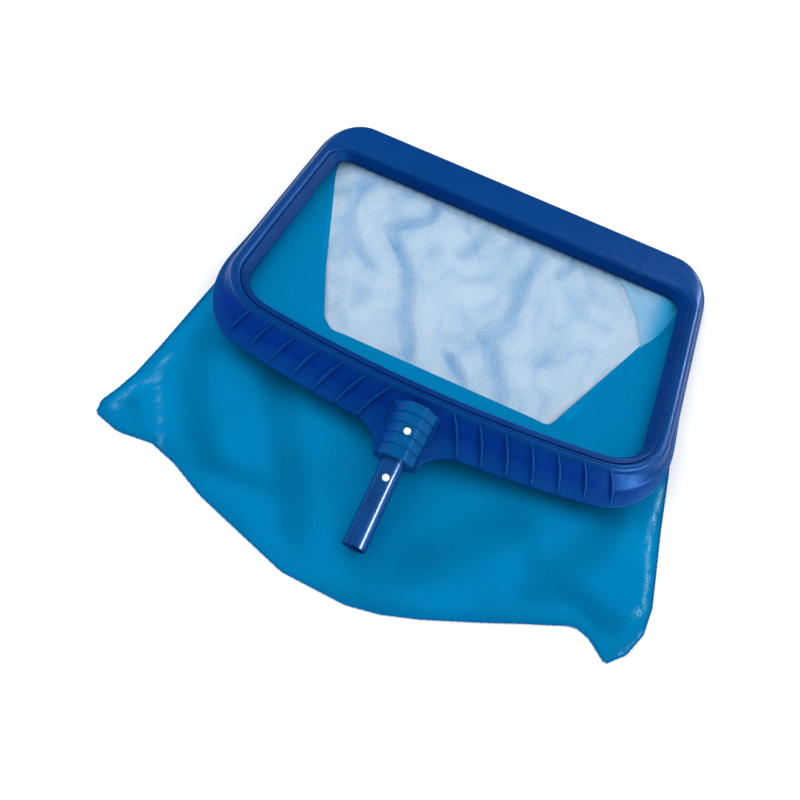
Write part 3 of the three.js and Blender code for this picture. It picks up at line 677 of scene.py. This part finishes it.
def frame_section(s):
    points = [list(p) for p in blended(s, FRAME_SIDE, FRAME_FAR, FRAME_NEAR)]
    if s.near > 0.5:
        across = abs(s.x)
        bow = APRON_BOW * (1 - min(1, across / 190) ** 2)
        web = table(WEB_PROFILE, across)
        for i in (APRON_TOP, APRON_BOTTOM):
            points[i][0] += bow + WEB_REACH * web
            points[i][1] -= WEB_DROP * web
    return [place(s, u, z) for u, z in rounded(points, FRAME_ROUND)]


def rib_mesh(name, head_x, foot_x, foot_y):
    """A thin curved fin from the rim down to the apron's edge, rounded along its top."""
    head_y = MOUTH_NEAR_Y + NEAR_BOW * head_x * head_x - RIB_HEAD[0]
    head = Vector((head_x, head_y, RIB_HEAD[1]))
    foot = Vector((foot_x, foot_y - RIB_FOOT[0], RIB_FOOT[1]))
    bend = Vector((head_x, head_y, 0)).lerp(Vector((foot_x, foot_y, 0)), 0.42)
    bend += Vector((math.copysign(5.5, head_x), -1.0, 0))
    sections = []
    for i in range(RIB_STEPS + 1):
        t = i / RIB_STEPS
        p = head * (1 - t) ** 2 + bend * (2 * t * (1 - t)) + foot * t * t
        p.z = mix(head.z, foot.z, t) + RIB_CROWN * math.sin(math.pi * t)
        low = p.z - table(RIB_DEPTH, t)
        ahead = (2 * (1 - t) * (bend - head) + 2 * t * (foot - bend))
        ahead.z = 0
        ahead.normalize()
        side = Vector((-ahead.y, ahead.x, 0))
        half = RIB_THICK / 2
        ring = rounded([(-half - 0.25, low), (half + 0.25, low), (half, p.z), (-half, p.z)],
                       [0.05, 0.05, 0.75, 0.75], 3)
        sections.append([rest(Vector((p.x, p.y, 0)) + side * a + Vector((0, 0, b)))
                         for a, b in ring])
    return loft(name, sections)


def pocket_shade(p):
    """Depth shading of the apron: dark under the rim between the ribs, light on top."""
    x, y, z = p[0] / MM, p[1] / MM, p[2] / MM - LIFT
    c, s = math.cos(TILT), math.sin(TILT)
    y, z = y * c + z * s, z * c - y * s
    if y > -80:
        return 1.0
    across = abs(x)
    if across < BOW_END_X:
        u = MOUTH_NEAR_Y + NEAR_BOW * x * x - y
        near = 1.0
    else:
        u = math.hypot(across - NEAR_CENTRE[0], y - NEAR_CENTRE[1]) - NEAR_RADIUS
        near = smooth((-y - 95) / 40)
    cove = table([(-9, 0.95), (18, 0.95), (20, 0.62), (28, 0.46), (39, 0.74), (50, 0.95),
                  (120, 1.0)], u)
    surface = table([(-9, -6), (19, -6), (33, -16.8), (50, -23.2), (120, -23.2)], u)
    proud = smooth((z - surface - 1.5) / 4.0) if u > 19.5 else 0.0
    crest = 0.8 if across < 29 else 1.25  # painted light on the raised tops: lighter on the ribs, darker on the cradle
    return mix(1.0, mix(cove, crest, proud), near)


def drill(obj, radius, near, far, at, segments=40):
    """Bore a round hole across the handle's axis, from near to far off it."""
    profile = [(0, near), (radius, near), (radius, far), (0, far)]
    carve(obj, lathe("hole", profile, segments, across_axis(at)), "DIFFERENCE")


def build_frame():
    shell = loft("frame_shell", [frame_section(s) for s in STATIONS], closed=True)
    for i in range(RIB_COUNT):
        for sign in (-1, 1):
            fin = rib_mesh("fin", sign * (RIB_FIRST + RIB_PITCH * i), sign * RIB_FOOT_X[i],
                           RIB_FOOT_Y[i])
            carve(shell, fin, "UNION")
    back = SLEEVE_BACK - 3.2
    r_back, r_front = SLEEVE_R_BACK + CRADLE_WALL, SLEEVE_R_FRONT + CRADLE_WALL
    cradle = loft("cradle", [
        [socket(x, a, b) for x, b in octagon(r, 4.0)]
        for a, r in ((back, r_back - 0.8), (back + 0.8, r_back), (-1.6, r_front), (-1.0, r_front - 0.6))
    ])
    box = [(x, a, b) for a in (-90, 30) for x, b in ((-45, 3), (45, 3), (45, 60), (-45, 60))]
    lid = loft("lid", [[socket(*p) for p in box[:4]], [socket(*p) for p in box[4:]]])
    carve(cradle, lid, "DIFFERENCE")
    carve(shell, cradle, "UNION")
    seat = loft("seat", [
        [socket(x, a, b) for x, b in octagon(r + GAP, 2.6)]
        for a, r in ((SLEEVE_BACK - GAP, SLEEVE_R_BACK), (0, SLEEVE_R_FRONT), (40, SLEEVE_R_FRONT))
    ])
    carve(shell, seat, "DIFFERENCE")
    drill(shell, SOCKET_BUTTON[0] + 2.4, -40, -10, SOCKET_BUTTON[1] - 0.4, 32)
    surface(shell, FRAME_PLASTIC, 32)
    shaded(shell, [pocket_shade(v.co) for v in shell.data.vertices])
    return shell


def sleeve_radius(a):
    return mix(SLEEVE_R_BACK, SLEEVE_R_FRONT, (a - SLEEVE_BACK) / -SLEEVE_BACK)


def build_sleeve():
    rings = []
    band = -SLEEVE_BACK / SLEEVE_BANDS
    rings.append((SLEEVE_BACK, sleeve_radius(SLEEVE_BACK) - 0.6))
    for i in range(SLEEVE_BANDS):
        start = SLEEVE_BACK + band * i
        end = start + band
        if i:
            rings.append((start, sleeve_radius(start) - SLEEVE_GROOVE))
            rings.append((start + 0.5, sleeve_radius(start) - 0.35))
            rings.append((start + 1.0, sleeve_radius(start + 1.0)))
        else:
            rings.append((start + 0.6, sleeve_radius(start)))
        rings.append((end - 0.9, sleeve_radius(end - 0.9)))
        rings.append((end - 0.5, sleeve_radius(end) - 0.3))
        if i < SLEEVE_BANDS - 1:
            rings.append((end - 0.2, sleeve_radius(end) - SLEEVE_GROOVE))
    rings[-1] = (-0.2, SLEEVE_R_FRONT - 0.3)
    rings.append((0.6, SLEEVE_R_FRONT - 1.3))
    body = loft("sleeve_body", [
        [socket(x, a, b) for x, b in octagon(r, 1.7, 5)] for a, r in rings
    ])
    bore = lathe("bore", [(0, SLEEVE_BACK + 2.4), (TUBE_R + GAP, SLEEVE_BACK + 2.4),
                          (TUBE_R + GAP, 20), (0, 20)], 96, along_axis)
    carve(body, bore, "DIFFERENCE")
    radius, at, _ = SOCKET_BUTTON
    for sign in (-1, 1):
        drill(body, radius + 0.9, sign * 5, sign * 30, at - 0.4)
    surface(body, SLEEVE_PLASTIC, 28)
    # painted shade: the facets turned away from the key light are darkened, the side towards it a
    # little lightened
    shaded(body, [mix(0.62, 1.05, smooth((v.co.x / MM + 20) / 13))
                  for v in body.data.vertices])
    return body


def build_tube():
    inner = TUBE_R - TUBE_WALL
    tube = lathe("tube_body", [
        (inner + 0.3, TUBE_BACK), (TUBE_R - 0.4, TUBE_BACK), (TUBE_R, TUBE_BACK + 0.4),
        (TUBE_R, -20), (TUBE_R, 10), (TUBE_R, 50), (TUBE_R, TUBE_TIP - 0.6),
        (TUBE_R - 0.2, TUBE_TIP - 0.15), (TUBE_R - 0.6, TUBE_TIP), (inner + 0.3, TUBE_TIP),
        (inner, TUBE_TIP - 0.3), (inner, TUBE_BACK + 0.3), (inner + 0.3, TUBE_BACK),
    ], 128, along_axis)
    merge_points(tube, 1e-6)
    for (radius, at, _), more in ((SOCKET_BUTTON, 0.9), (POLE_BUTTON, 0.6)):
        for sign in (-1, 1):
            drill(tube, radius + more, sign * 5, sign * 20, at - 0.3)
    surface(tube, TUBE_METAL, 30)
    return tube


def build_button(name, spec, sign):
    radius, at, top = spec
    t = (at - SPRING_END) / (SPRING_BEND_AT - SPRING_END)
    foot = mix(SPRING_END_R, SPRING_BEND_R, t) + 0.7
    profile = [(0, foot), (radius, foot), (radius, top - 1.6)]
    for i in range(1, 7):
        a = math.radians(15 * i)
        profile.append((max(0, radius - 1.6 + 1.6 * math.cos(a)), top - 1.6 + 1.3 * math.sin(a)))
    profile.append((radius * 0.3, top - 0.08))
    profile.append((0, top))
    button = lathe(name, [(r, sign * h) for r, h in profile], 40, across_axis(at),
                   material=BUTTON_PLASTIC, sharp=40)
    shaded(button)
    return button


# ---- hem and cord


def hem_centre(s):
    return HEM_SIDE_U * (1 - s.far - s.near) + HEM_FAR_U * s.far + HEM_NEAR_U * s.near


def wrapped(name, radius, wobble, material):
    sections, uv, run = [], [], 0.0
    for i, s in enumerate(STATIONS):
        ring = []
        for j in range(17):
            a = math.radians(360 * j / 16)
            w = noise.noise(Vector((s.x * 0.09, s.y * 0.09, j % 16 * 0.7))) * wobble
            ring.append(place(s, hem_centre(s) + (radius + w) * math.cos(a),
                              HEM_Z + (radius + w) * math.sin(a)))
            uv.append((run * MM, j * radius * 2 * math.pi / 16 * MM))
        sections.append(ring)
        nxt = STATIONS[(i + 1) % len(STATIONS)]
        run += math.hypot(nxt.x - s.x, nxt.y - s.y)
    count = 17
    faces = []
    for i in range(len(sections)):
        n = (i + 1) % len(sections)
        for j in range(16):
            faces.append((i * count + j, n * count + j, n * count + j + 1, i * count + j + 1))
    obj = make(name, [p for ring in sections for p in ring], faces, material=material, sharp=80,
               uv=uv)
    attributes(obj, [0.2] * len(obj.data.vertices))
    merge_points(obj, 1e-7)
    outward(obj)
    return obj


def attributes(obj, gather, shade=None, glint=None):
    shade = shade or [1.0] * len(gather)
    glint = glint or [0.0] * len(gather)
    for name, values in (("gather", gather), ("shade", shade), ("glint", glint)):
        layer = obj.data.attributes.new(name, "FLOAT", "POINT")
        for i, value in enumerate(values):
            layer.data[i].value = value


# ---- bag cloth


OUTLINE = [Vector((x, y, 0)) for x, y in BAG_OUTLINE]


def outline_edge(first, last, steps):
    """Evenly spaced places along a stretch of the bag's outline."""
    points = OUTLINE[first:last + 1]
    lengths = [0.0]
    for a, b in zip(points, points[1:]):
        lengths.append(lengths[-1] + (b - a).length)
    out = []
    for s in range(steps + 1):
        want = lengths[-1] * s / steps
        i = 1
        while i < len(points) - 1 and lengths[i] < want:
            i += 1
        t = (want - lengths[i - 1]) / (lengths[i] - lengths[i - 1])
        out.append(points[i - 1].lerp(points[i], t))
    return out


def hem_point(x, y, nx, ny, u):
    return rest((x + nx * u, y + ny * u, HEM_Z - HEM_R - HEM_CLEAR))


def near_mouth(x):
    across = abs(x)
    if across <= BOW_END_X:
        return x, MOUTH_NEAR_Y + NEAR_BOW * x * x, 0.0, -1.0
    nx = (across - NEAR_CENTRE[0]) / NEAR_RADIUS
    ny = -math.sqrt(1 - nx * nx)
    return x, NEAR_CENTRE[1] + NEAR_RADIUS * ny, nx * math.copysign(1, x), ny


def gusset_columns(side):
    corner = (-296.9, -304) if side < 0 else (269, -319)
    edge = list(reversed(BAG_OUTLINE[:CORNER_LEFT])) if side < 0 else BAG_OUTLINE[CORNER_RIGHT + 1:]
    outer = [corner, *edge, (side * 246, 100), (side * 242, 136)]
    out = []
    for i, (ox, oy) in enumerate(outer):
        turn = math.radians(GUSSET_HEM[i])
        if i < 3:
            nx, ny = math.cos(turn), math.sin(turn)
            x, y = NEAR_CENTRE[0] + NEAR_RADIUS * nx, NEAR_CENTRE[1] + NEAR_RADIUS * ny
        else:
            nx, ny, x, y = 1.0, 0.0, MOUTH_HALF_W, GUSSET_HEM[i]
        h = hem_point(side * x, y, side * nx, ny, 16)
        fy = GUSSET_FOLD_Y[i]
        fx = table(FOLD_LEFT if side < 0 else FOLD_RIGHT, fy)
        loft = 1 - smooth((i - 3) / 5.5)
        reach = Vector((ox - fx, oy - fy, 0)).normalized() * 1.2
        out.append((h, Vector((fx, fy, 0)), Vector((ox, oy, 0)) + reach, loft))
    turn = math.radians(48)
    nx, ny = math.cos(turn), math.sin(turn)
    x = MOUTH_HALF_W - FAR_RADIUS + FAR_RADIUS * nx
    y = MOUTH_FAR_Y - FAR_RADIUS + FAR_RADIUS * ny
    h = hem_point(side * x, y, side * nx, ny, 12)
    out.append((h, Vector((side * 236, 153, 0)), Vector((side * 243, 152, 0)), 0.0))
    return out


def panel_columns():
    out = []
    for i, o in enumerate(outline_edge(CORNER_LEFT, CORNER_RIGHT, END_STEPS)):
        t = i / END_STEPS
        h = hem_point(*near_mouth(mix(-216, 216, t)), HEM_NEAR_U - 2)
        f = Vector((mix(-131, 133, t), FOLD_NEAR_Y, 0))
        out.append((h, f, o + (o - f).normalized() * 1.2, 1.0))
    return out


def puffed(x, y, t, loft):
    """Height of the upper cloth over the floor net between the fold and the seam."""
    puff = mix(2.0, 7.6 + 2.4 * math.sin(math.pi * min(1, t * 1.1)), loft)
    pressed = smooth((75 - abs(x)) / 40) * smooth((-215 - y) / 60)
    inside = mix(puff, 2.2, pressed)
    z = mix(inside, 1.9, smooth((t - 0.8) / 0.2))
    dip = 0.0
    for depth, width, line in CREASE_LINES:
        d, _ = distance(x, y, line)
        if d < 3 * width:
            dip += depth * math.exp(-(d / (1.1 * width)) ** 2)
    swell = noise.noise(Vector((x * 0.012, y * 0.012, 3.1))) * 2.2
    fine = noise.noise(Vector((x * 0.05, y * 0.05, 7.7))) * 0.5
    free = smooth(t / 0.15) * smooth((1 - t) / 0.15) * loft * (1 - 0.7 * pressed)
    return max(1.7, z + free * (swell + fine - 0.8 * dip)), dip * free


def catch(x, y):
    total = 0.0
    for strength, width, line in GLINT_LINES:
        d, _ = distance(x, y, line)
        if d < 3 * width:
            total += strength * math.exp(-(d / width) ** 2)
    return total * max(0.0, 0.5 + 1.6 * noise.noise(Vector((x * 0.22, y * 0.12, 2.0))))


GLINT_LINES = [(k, w, smoothed(line)) for k, w, line in GLINTS]
CREASE_LINES = [(d, w, smoothed(line)) for d, w, line in CREASES]
VALLEY_LINES = [(d, w, smoothed(line)) for d, w, line in VALLEYS]
FALL_ROWS = 14
RETURN_ROWS = 46
COLUMN_PARTS = 7


def upper_cloth(name, columns, first, last):
    """Sheet from the hem down to the fold line and back out to the bag's edge."""
    total = (last - first) * COLUMN_PARTS
    hs, fs, os_ = ([c[k] for c in columns] for k in range(3))
    points, gather, shade, glint, uv = [], [], [], [], []
    rows = FALL_ROWS + RETURN_ROWS + 1
    run = 0.0
    before = None
    for ci in range(total + 1):
        t = first + ci / COLUMN_PARTS
        t = min(t, last - 1e-6) if last == len(columns) - 1 else t
        h, f, o = (catmull(line, t) for line in (hs, fs, os_))
        i = min(len(columns) - 2, int(t))
        loft = mix(columns[i][3], columns[i + 1][3], t - i)
        out = Vector((o.x - f.x, o.y - f.y, 0))
        out.normalize()
        z0, _ = puffed(f.x, f.y, 0.0, loft)
        column = []
        for r in range(FALL_ROWS + 1):
            s = r / FALL_ROWS
            x, y = mix(h.x, f.x, s), mix(h.y, f.y, s)
            sag = math.sin(math.pi * s) * 1.4
            z = mix(h.z, z0 - 1.2, s ** 0.92) - sag
            fold = noise.noise(Vector((x * 0.035, y * 0.02, 1.3))) * 1.6 * math.sin(math.pi * s)
            # painted shadow under the rim on the cloth falling from the hem
            under_rim_shadow = smooth(1 - s / 0.28)
            column.append((x, y, max(1.6, z + fold), 0.15, 1.0 - 0.28 * under_rim_shadow))
        for r in range(1, RETURN_ROWS + 1):
            s = r / RETURN_ROWS
            x, y = mix(f.x, o.x, s), mix(f.y, o.y, s)
            z, dip = puffed(x, y, s, loft)
            turn = smooth(s * RETURN_ROWS / 2.0)
            edge = smooth((s - 0.93) / 0.07)
            # painted shade along the creases, darker towards the bag's edge, and a random tone
            tone_and_shade = 1.05 - 0.36 * (1 - math.exp(-0.9 * dip)) - 0.12 * edge
            tone_and_shade += 0.16 * noise.noise(Vector((x * 0.013, y * 0.017, 9.1)))
            column.append((x, y, mix(z0 - 1.2, z, turn), 0.3 * edge, tone_and_shade))
        middle = Vector(column[FALL_ROWS + 6][:3])
        if before is not None:
            run += (middle - before).length
        before = middle
        length = 0.0
        for r, (x, y, z, g, k) in enumerate(column):
            if r:
                length += (Vector((x, y, z)) - Vector(column[r - 1][:3])).length
            points.append((x, y, z))
            gather.append(g)
            shade.append(k)
            glint.append(catch(x, y) if r > FALL_ROWS else 0.0)
            uv.append((run * MM, length * MM))
    obj = make(name, points, grid_faces(total, rows), material=TOP_NET, sharp=80, uv=uv)
    attributes(obj, gather, shade, glint)
    return obj


def floor_height(x, y):
    """Height and bunching of the fine floor net; the bunching also carries painted shade in the valleys
    and hollows.
    """
    fold_x = abs(table(FOLD_LEFT if x < 0 else FOLD_RIGHT, y))
    inside = smooth((y + 112) / 40) * smooth((fold_x - 1 - abs(x)) / 30)
    inside *= 1 - smooth((y - 138) / 16)
    lip = smooth((y - 118) / 44)
    z = 1.2 + 5.0 * inside
    z += inside * 1.5 * noise.noise(Vector((x * 0.016, y * 0.011, 0.4)))
    gather = 0.0
    for depth, width, line in VALLEY_LINES:
        d, s = distance(x, y, line)
        if d < 4 * width:
            fade = smooth((1 - s) / 0.16) * smooth(s / 0.06 + 0.4)
            vary = 1 + 0.45 * noise.noise(Vector((x * 0.03, y * 0.03, depth)))
            w = width * vary
            well = math.exp(-(d / (1.15 * w)) ** 2)
            bank = math.exp(-((d - 2.3 * w) / (1.1 * w)) ** 2)
            z += inside * fade * depth * (0.5 * bank - well)
            # bluer along the valleys: denser net where it bunches, and painted shade in the hollow
            core = 0.30 * math.exp(-(d / w) ** 2) + 0.40 * math.exp(-(d / (2.1 * w)) ** 2)
            gather += 0.15 * depth * fade * core / vary
    pleat = math.sin(x * 0.43 + 2.5 * noise.noise(Vector((x * 0.02, 0.5, 0)))) * lip
    z += inside * pleat * 0.8 + 2.2 * smooth((y - 140) / 20)
    gather += lip * (0.34 + 0.2 * pleat) * smooth((y - 134) / 24)
    wx = x + 14 * noise.noise(Vector((x * 0.012, y * 0.012, 8.3)))
    wy = y + 14 * noise.noise(Vector((x * 0.012, y * 0.012, 2.9)))
    fine = noise.noise(Vector((wx * 0.05, wy * 0.024, 5.2)))
    crease = 1 - abs(noise.noise(Vector((wx * 0.034, wy * 0.02, 1.7)))) * 5
    crease = max(0.0, crease)
    z += inside * (fine * 0.9 - crease * 0.7)
    # bluer in the small hollows and creases: denser net there, and painted shade
    gather += (0.2 * max(0.0, -fine) + 0.17 * crease) * smooth((y + 140) / 30)
    # the net is pale only where a single layer lies in the mouth
    doubled = max(smooth((FOLD_NEAR_Y - 6 - y) / 14), smooth((abs(x) - fold_x - 6) / 14))
    return max(0.7, z), mix(0.74 * (1 - math.exp(-gather / 0.52)), 0.97, doubled)


def build_floor_net():
    left = [(-232, 164), (-248, 110), *BAG_OUTLINE[:CORNER_LEFT + 1]]
    right = [(232, 164), (248, 110), *reversed(BAG_OUTLINE[CORNER_RIGHT:])]
    rows, cols = 230, 190
    end = outline_edge(CORNER_LEFT, CORNER_RIGHT, cols)
    first, last = OUTLINE[CORNER_LEFT], OUTLINE[CORNER_RIGHT]
    points, gather, uv = [], [], []
    for r in range(rows + 1):
        t = r / rows
        pos = t * (len(left) - 1)
        i = min(len(left) - 2, int(pos))
        k = pos - i
        lx, ly = mix(left[i][0], left[i + 1][0], k), mix(left[i][1], left[i + 1][1], k)
        rx, ry = mix(right[i][0], right[i + 1][0], k), mix(right[i][1], right[i + 1][1], k)
        pull = smooth((t - 0.35) / 0.65)
        for c in range(cols + 1):
            s = c / cols
            base = first.lerp(last, s)
            x = mix(lx, rx, s) + (end[c].x - base.x) * pull
            y = mix(ly, ry, s) + (end[c].y - base.y) * pull
            z, g = floor_height(x, y)
            points.append((x, y, z))
            gather.append(g)
            uv.append((x * MM, y * MM))
    obj = make("floor_net", points, grid_faces(rows, cols + 1), material=FLOOR_NET, sharp=80,
               uv=uv)
    attributes(obj, gather)
    return obj


CORNER_FOLD = [(154, 160), (232, 166), (231, 118), (210, 68), (205, 74), (190, 106), (166, 142)]


def build_corner_fold():
    """Spare net folded back over itself in the right corner behind the scoop lip."""
    outline_points = [Vector(p) for p in smoothed(CORNER_FOLD + CORNER_FOLD[:1], 8)[:-1]]
    centre = sum(outline_points, Vector((0, 0))) / len(outline_points)
    rings = 14
    points, gather, uv, faces = [], [], [], []
    count = len(outline_points)
    for k in range(rings):
        share = 1 - k / rings
        for p in outline_points:
            x, y = centre.lerp(p, share)
            z, _ = floor_height(x, y)
            crest = 0.5 * math.sin((x * 0.6 + y * 0.9) * 0.12)
            lift = 0.9 + 1.4 * smooth((1 - share) / 0.3) + crest * smooth((1 - share) / 0.2)
            points.append((x, y, z + lift))
            gather.append(smooth((x - 196) / 34) + 0.1 * crest)
            uv.append(((x * 0.8 + y * 0.6) * MM, (y * 0.8 - x * 0.6) * MM))
    points.append((centre.x, centre.y, floor_height(*centre)[0] + 2.3))
    gather.append(smooth((centre.x - 196) / 34))
    uv.append(((centre.x * 0.8 + centre.y * 0.6) * MM, (centre.y * 0.8 - centre.x * 0.6) * MM))
    for k in range(rings - 1):
        for i in range(count):
            n = (i + 1) % count
            faces.append((k * count + i, k * count + n, (k + 1) * count + n, (k + 1) * count + i))
    last = (rings - 1) * count
    for i in range(count):
        faces.append((last + i, last + (i + 1) % count, rings * count))
    obj = make("corner_fold_net", points, faces, material=CORNER_NET, sharp=80, uv=uv)
    attributes(obj, gather)
    return obj


def build_seam(name, line):
    """Folded and stitched edge band along the bag's outline."""
    sections, uv, run = [], [], 0.0
    fine = []
    for a, b in zip(line, line[1:]):
        steps = max(1, int((b - a).length / 3.0))
        fine += [a.lerp(b, k / steps) for k in range(steps)]
    fine.append(line[-1])
    for i, p in enumerate(fine):
        a, b = fine[max(0, i - 1)], fine[min(len(fine) - 1, i + 1)]
        out = Vector((-(b.y - a.y), b.x - a.x, 0)).normalized()
        if out.x * p.x + out.y * (p.y + 100) < 0:
            out.negate()
        if i:
            run += (p - fine[i - 1]).length
        stitch = 0.22 * math.sin(run * 2 * math.pi / 6.0)
        ring = rounded([(0.3, 0.2), (2.6 + stitch, 0.3), (2.6 + stitch, 1.9), (0.3, 2.3)],
                       [0.5, 0.8, 0.8, 0.5], 3)
        sections.append([Vector((p.x + out.x * u, p.y + out.y * u, z)) for u, z in ring])
        uv += [(run * MM, j * 0.0006) for j in range(len(ring))]
    obj = loft(name, sections, material=HEM_CLOTH, sharp=60, uv=uv)
    attributes(obj, [0.2] * len(obj.data.vertices))
    return obj


# ---- put together


def piece(obj, name, body, slot, *nodes_replaced):
    obj.name = name
    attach(obj, body)
    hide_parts(*nodes_replaced)
    return obj


piece(build_frame(), "frame_visual", "net", "frame_plastic", "frame_moulding")
ring = loft("ring_visual", [
    [place(s, u, z) for u, z in rounded(blended(s, RING_SIDE, RING_FAR, RING_NEAR), RING_ROUND)]
    for s in STATIONS
], closed=True, material=RING_PLASTIC)
shaded(ring)
piece(ring, "ring_visual", "net", "ring_plastic", "retaining_ring")
piece(build_sleeve(), "sleeve_visual", "net", "sleeve_plastic", "socket_sleeve")
piece(build_tube(), "tube_visual", "net", "anodised_tube", "spigot_tube")
for word, sign, body in (("top", 1, "upper_clip_leg"), ("bottom", -1, "lower_clip_leg")):
    for part, spec in (("socket", SOCKET_BUTTON), ("pole", POLE_BUTTON)):
        name = f"button_{part}_{word}"
        piece(build_button(name + "_visual", spec, sign), name + "_visual", body,
              "button_plastic", name)
for name in ("spring_bend", "spring_leg_top", "spring_leg_bottom"):
    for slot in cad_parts[name].material_slots:
        slot.material = SPRING_METAL

piece(wrapped("hem_visual", HEM_R, 0.5, HEM_CLOTH), "hem_visual", "net", "hem_cloth",
      "mouth_hem")
piece(wrapped("cord_visual", CORD_R, 0.05, CORD_CLOTH), "cord_visual", "net", "cord", "hem_cord")

left_columns = gusset_columns(-1)
columns = [*reversed(left_columns), *panel_columns(), *gusset_columns(1)]
top_first = len(left_columns)
top_last = top_first + END_STEPS
left = piece(upper_cloth("gusset_net_left", columns, 0, top_first), "gusset_net_left", "net",
             "gusset_net", "bag_gusset_left")
top = piece(upper_cloth("top_net", columns, top_first, top_last), "top_net", "net", "top_net",
            "bag_top_panel")
right = piece(upper_cloth("gusset_net_right", columns, top_last, len(columns) - 1),
              "gusset_net_right", "net", "gusset_net", "bag_gusset_right")
floor_net = piece(build_floor_net(), "floor_net", "net", "floor_net", "bag_floor_panel")
fold = piece(build_corner_fold(), "corner_fold_net", "net", "floor_net", "bag_floor_panel")
for name, line in (("seam_end", outline_edge(CORNER_LEFT, CORNER_RIGHT, 90)),
                   ("seam_left", OUTLINE[:CORNER_LEFT + 1]),
                   ("seam_right", OUTLINE[CORNER_RIGHT:])):
    piece(build_seam(name + "_visual", line), name + "_visual", "net", "seam_cloth", name)

# ---- stage, lights, camera
floor_mesh = bpy.data.meshes.new("studio_floor")
FLOOR_HALF, FLOOR_Z = 6.0, -0.0002
floor_mesh.from_pydata([(x * FLOOR_HALF, y * FLOOR_HALF, FLOOR_Z)
                        for x, y in ((-1, -1), (1, -1), (1, 1), (-1, 1))], [], [(0, 1, 2, 3)])
studio_floor = bpy.data.objects.new("studio_floor", floor_mesh)
bpy.context.scene.collection.objects.link(studio_floor)
floor_mesh.materials.append(floor_material())

scene = bpy.context.scene
scene.view_settings.view_transform = "Standard"
scene.view_settings.look = "None"
world = bpy.data.worlds.new("studio")
world.use_nodes = True
sky = world.node_tree.nodes["Background"]
sky.inputs["Color"].default_value = (0.95, 0.975, 1.0, 1)
ray = world.node_tree.nodes.new("ShaderNodeLightPath")
# the studio's walls are dark, so gloss shows the lamps more than the room
strength = maths(world.node_tree, "SUBTRACT", 0.88,
                 maths(world.node_tree, "MULTIPLY", ray.outputs["Is Glossy Ray"], 0.79))
world.node_tree.links.new(strength, sky.inputs["Strength"])
scene.world = world


def area_light(name, at, aim, size, power, along=(0, 1, 0), gloss_only=False):
    data = bpy.data.lights.new(name, "AREA")
    data.shape = "RECTANGLE"
    data.size, data.size_y = size
    data.energy = power
    light = bpy.data.objects.new(name, data)
    back = (Vector(at) - Vector(aim)).normalized()
    side = Vector(along).cross(back).normalized()
    turn = Matrix((side, back.cross(side), back)).transposed().to_4x4()
    turn.translation = Vector(at)
    light.matrix_world = turn
    light.visible_glossy = gloss_only
    light.visible_diffuse = not gloss_only
    scene.collection.objects.link(light)


area_light("key_softbox", (1.5, 0.3, 1.9), (0, -0.05, 0), (2.2, 2.2), 22)
area_light("fill_softbox", (-1.5, 0.1, 1.9), (0, -0.1, 0), (2.2, 2.2), 25)
area_light("strip_light", (1.32, -0.56, 0.78), (0, -0.29, 0.02), (0.40, 1.3), 50,
           along=(0, -0.92, -0.38), gloss_only=True)
area_light("rim_strip", (0.95, 1.2, 0.9), (-0.25, 0.0, 0.04), (0.22, 1.1), 32,
           gloss_only=True)

camera_data = bpy.data.cameras.new("camera")
camera_data.lens = 38.25
camera_data.sensor_width = 36
camera = bpy.data.objects.new("camera", camera_data)
CAMERA_RIGHT = (0.9102, 0.3799, 0.1651)
CAMERA_UP = (-0.4078, 0.7517, 0.5183)
CAMERA_BACK = (0.0728, -0.5391, 0.8391)
CAMERA_AT = (0.0425, -0.6504, 0.7875)
camera_turn = Matrix((CAMERA_RIGHT, CAMERA_UP, CAMERA_BACK)).transposed().to_4x4()
camera_turn.translation = CAMERA_AT
camera.matrix_world = camera_turn
scene.collection.objects.link(camera)
scene.camera = camera

bpy.context.view_layer.update()
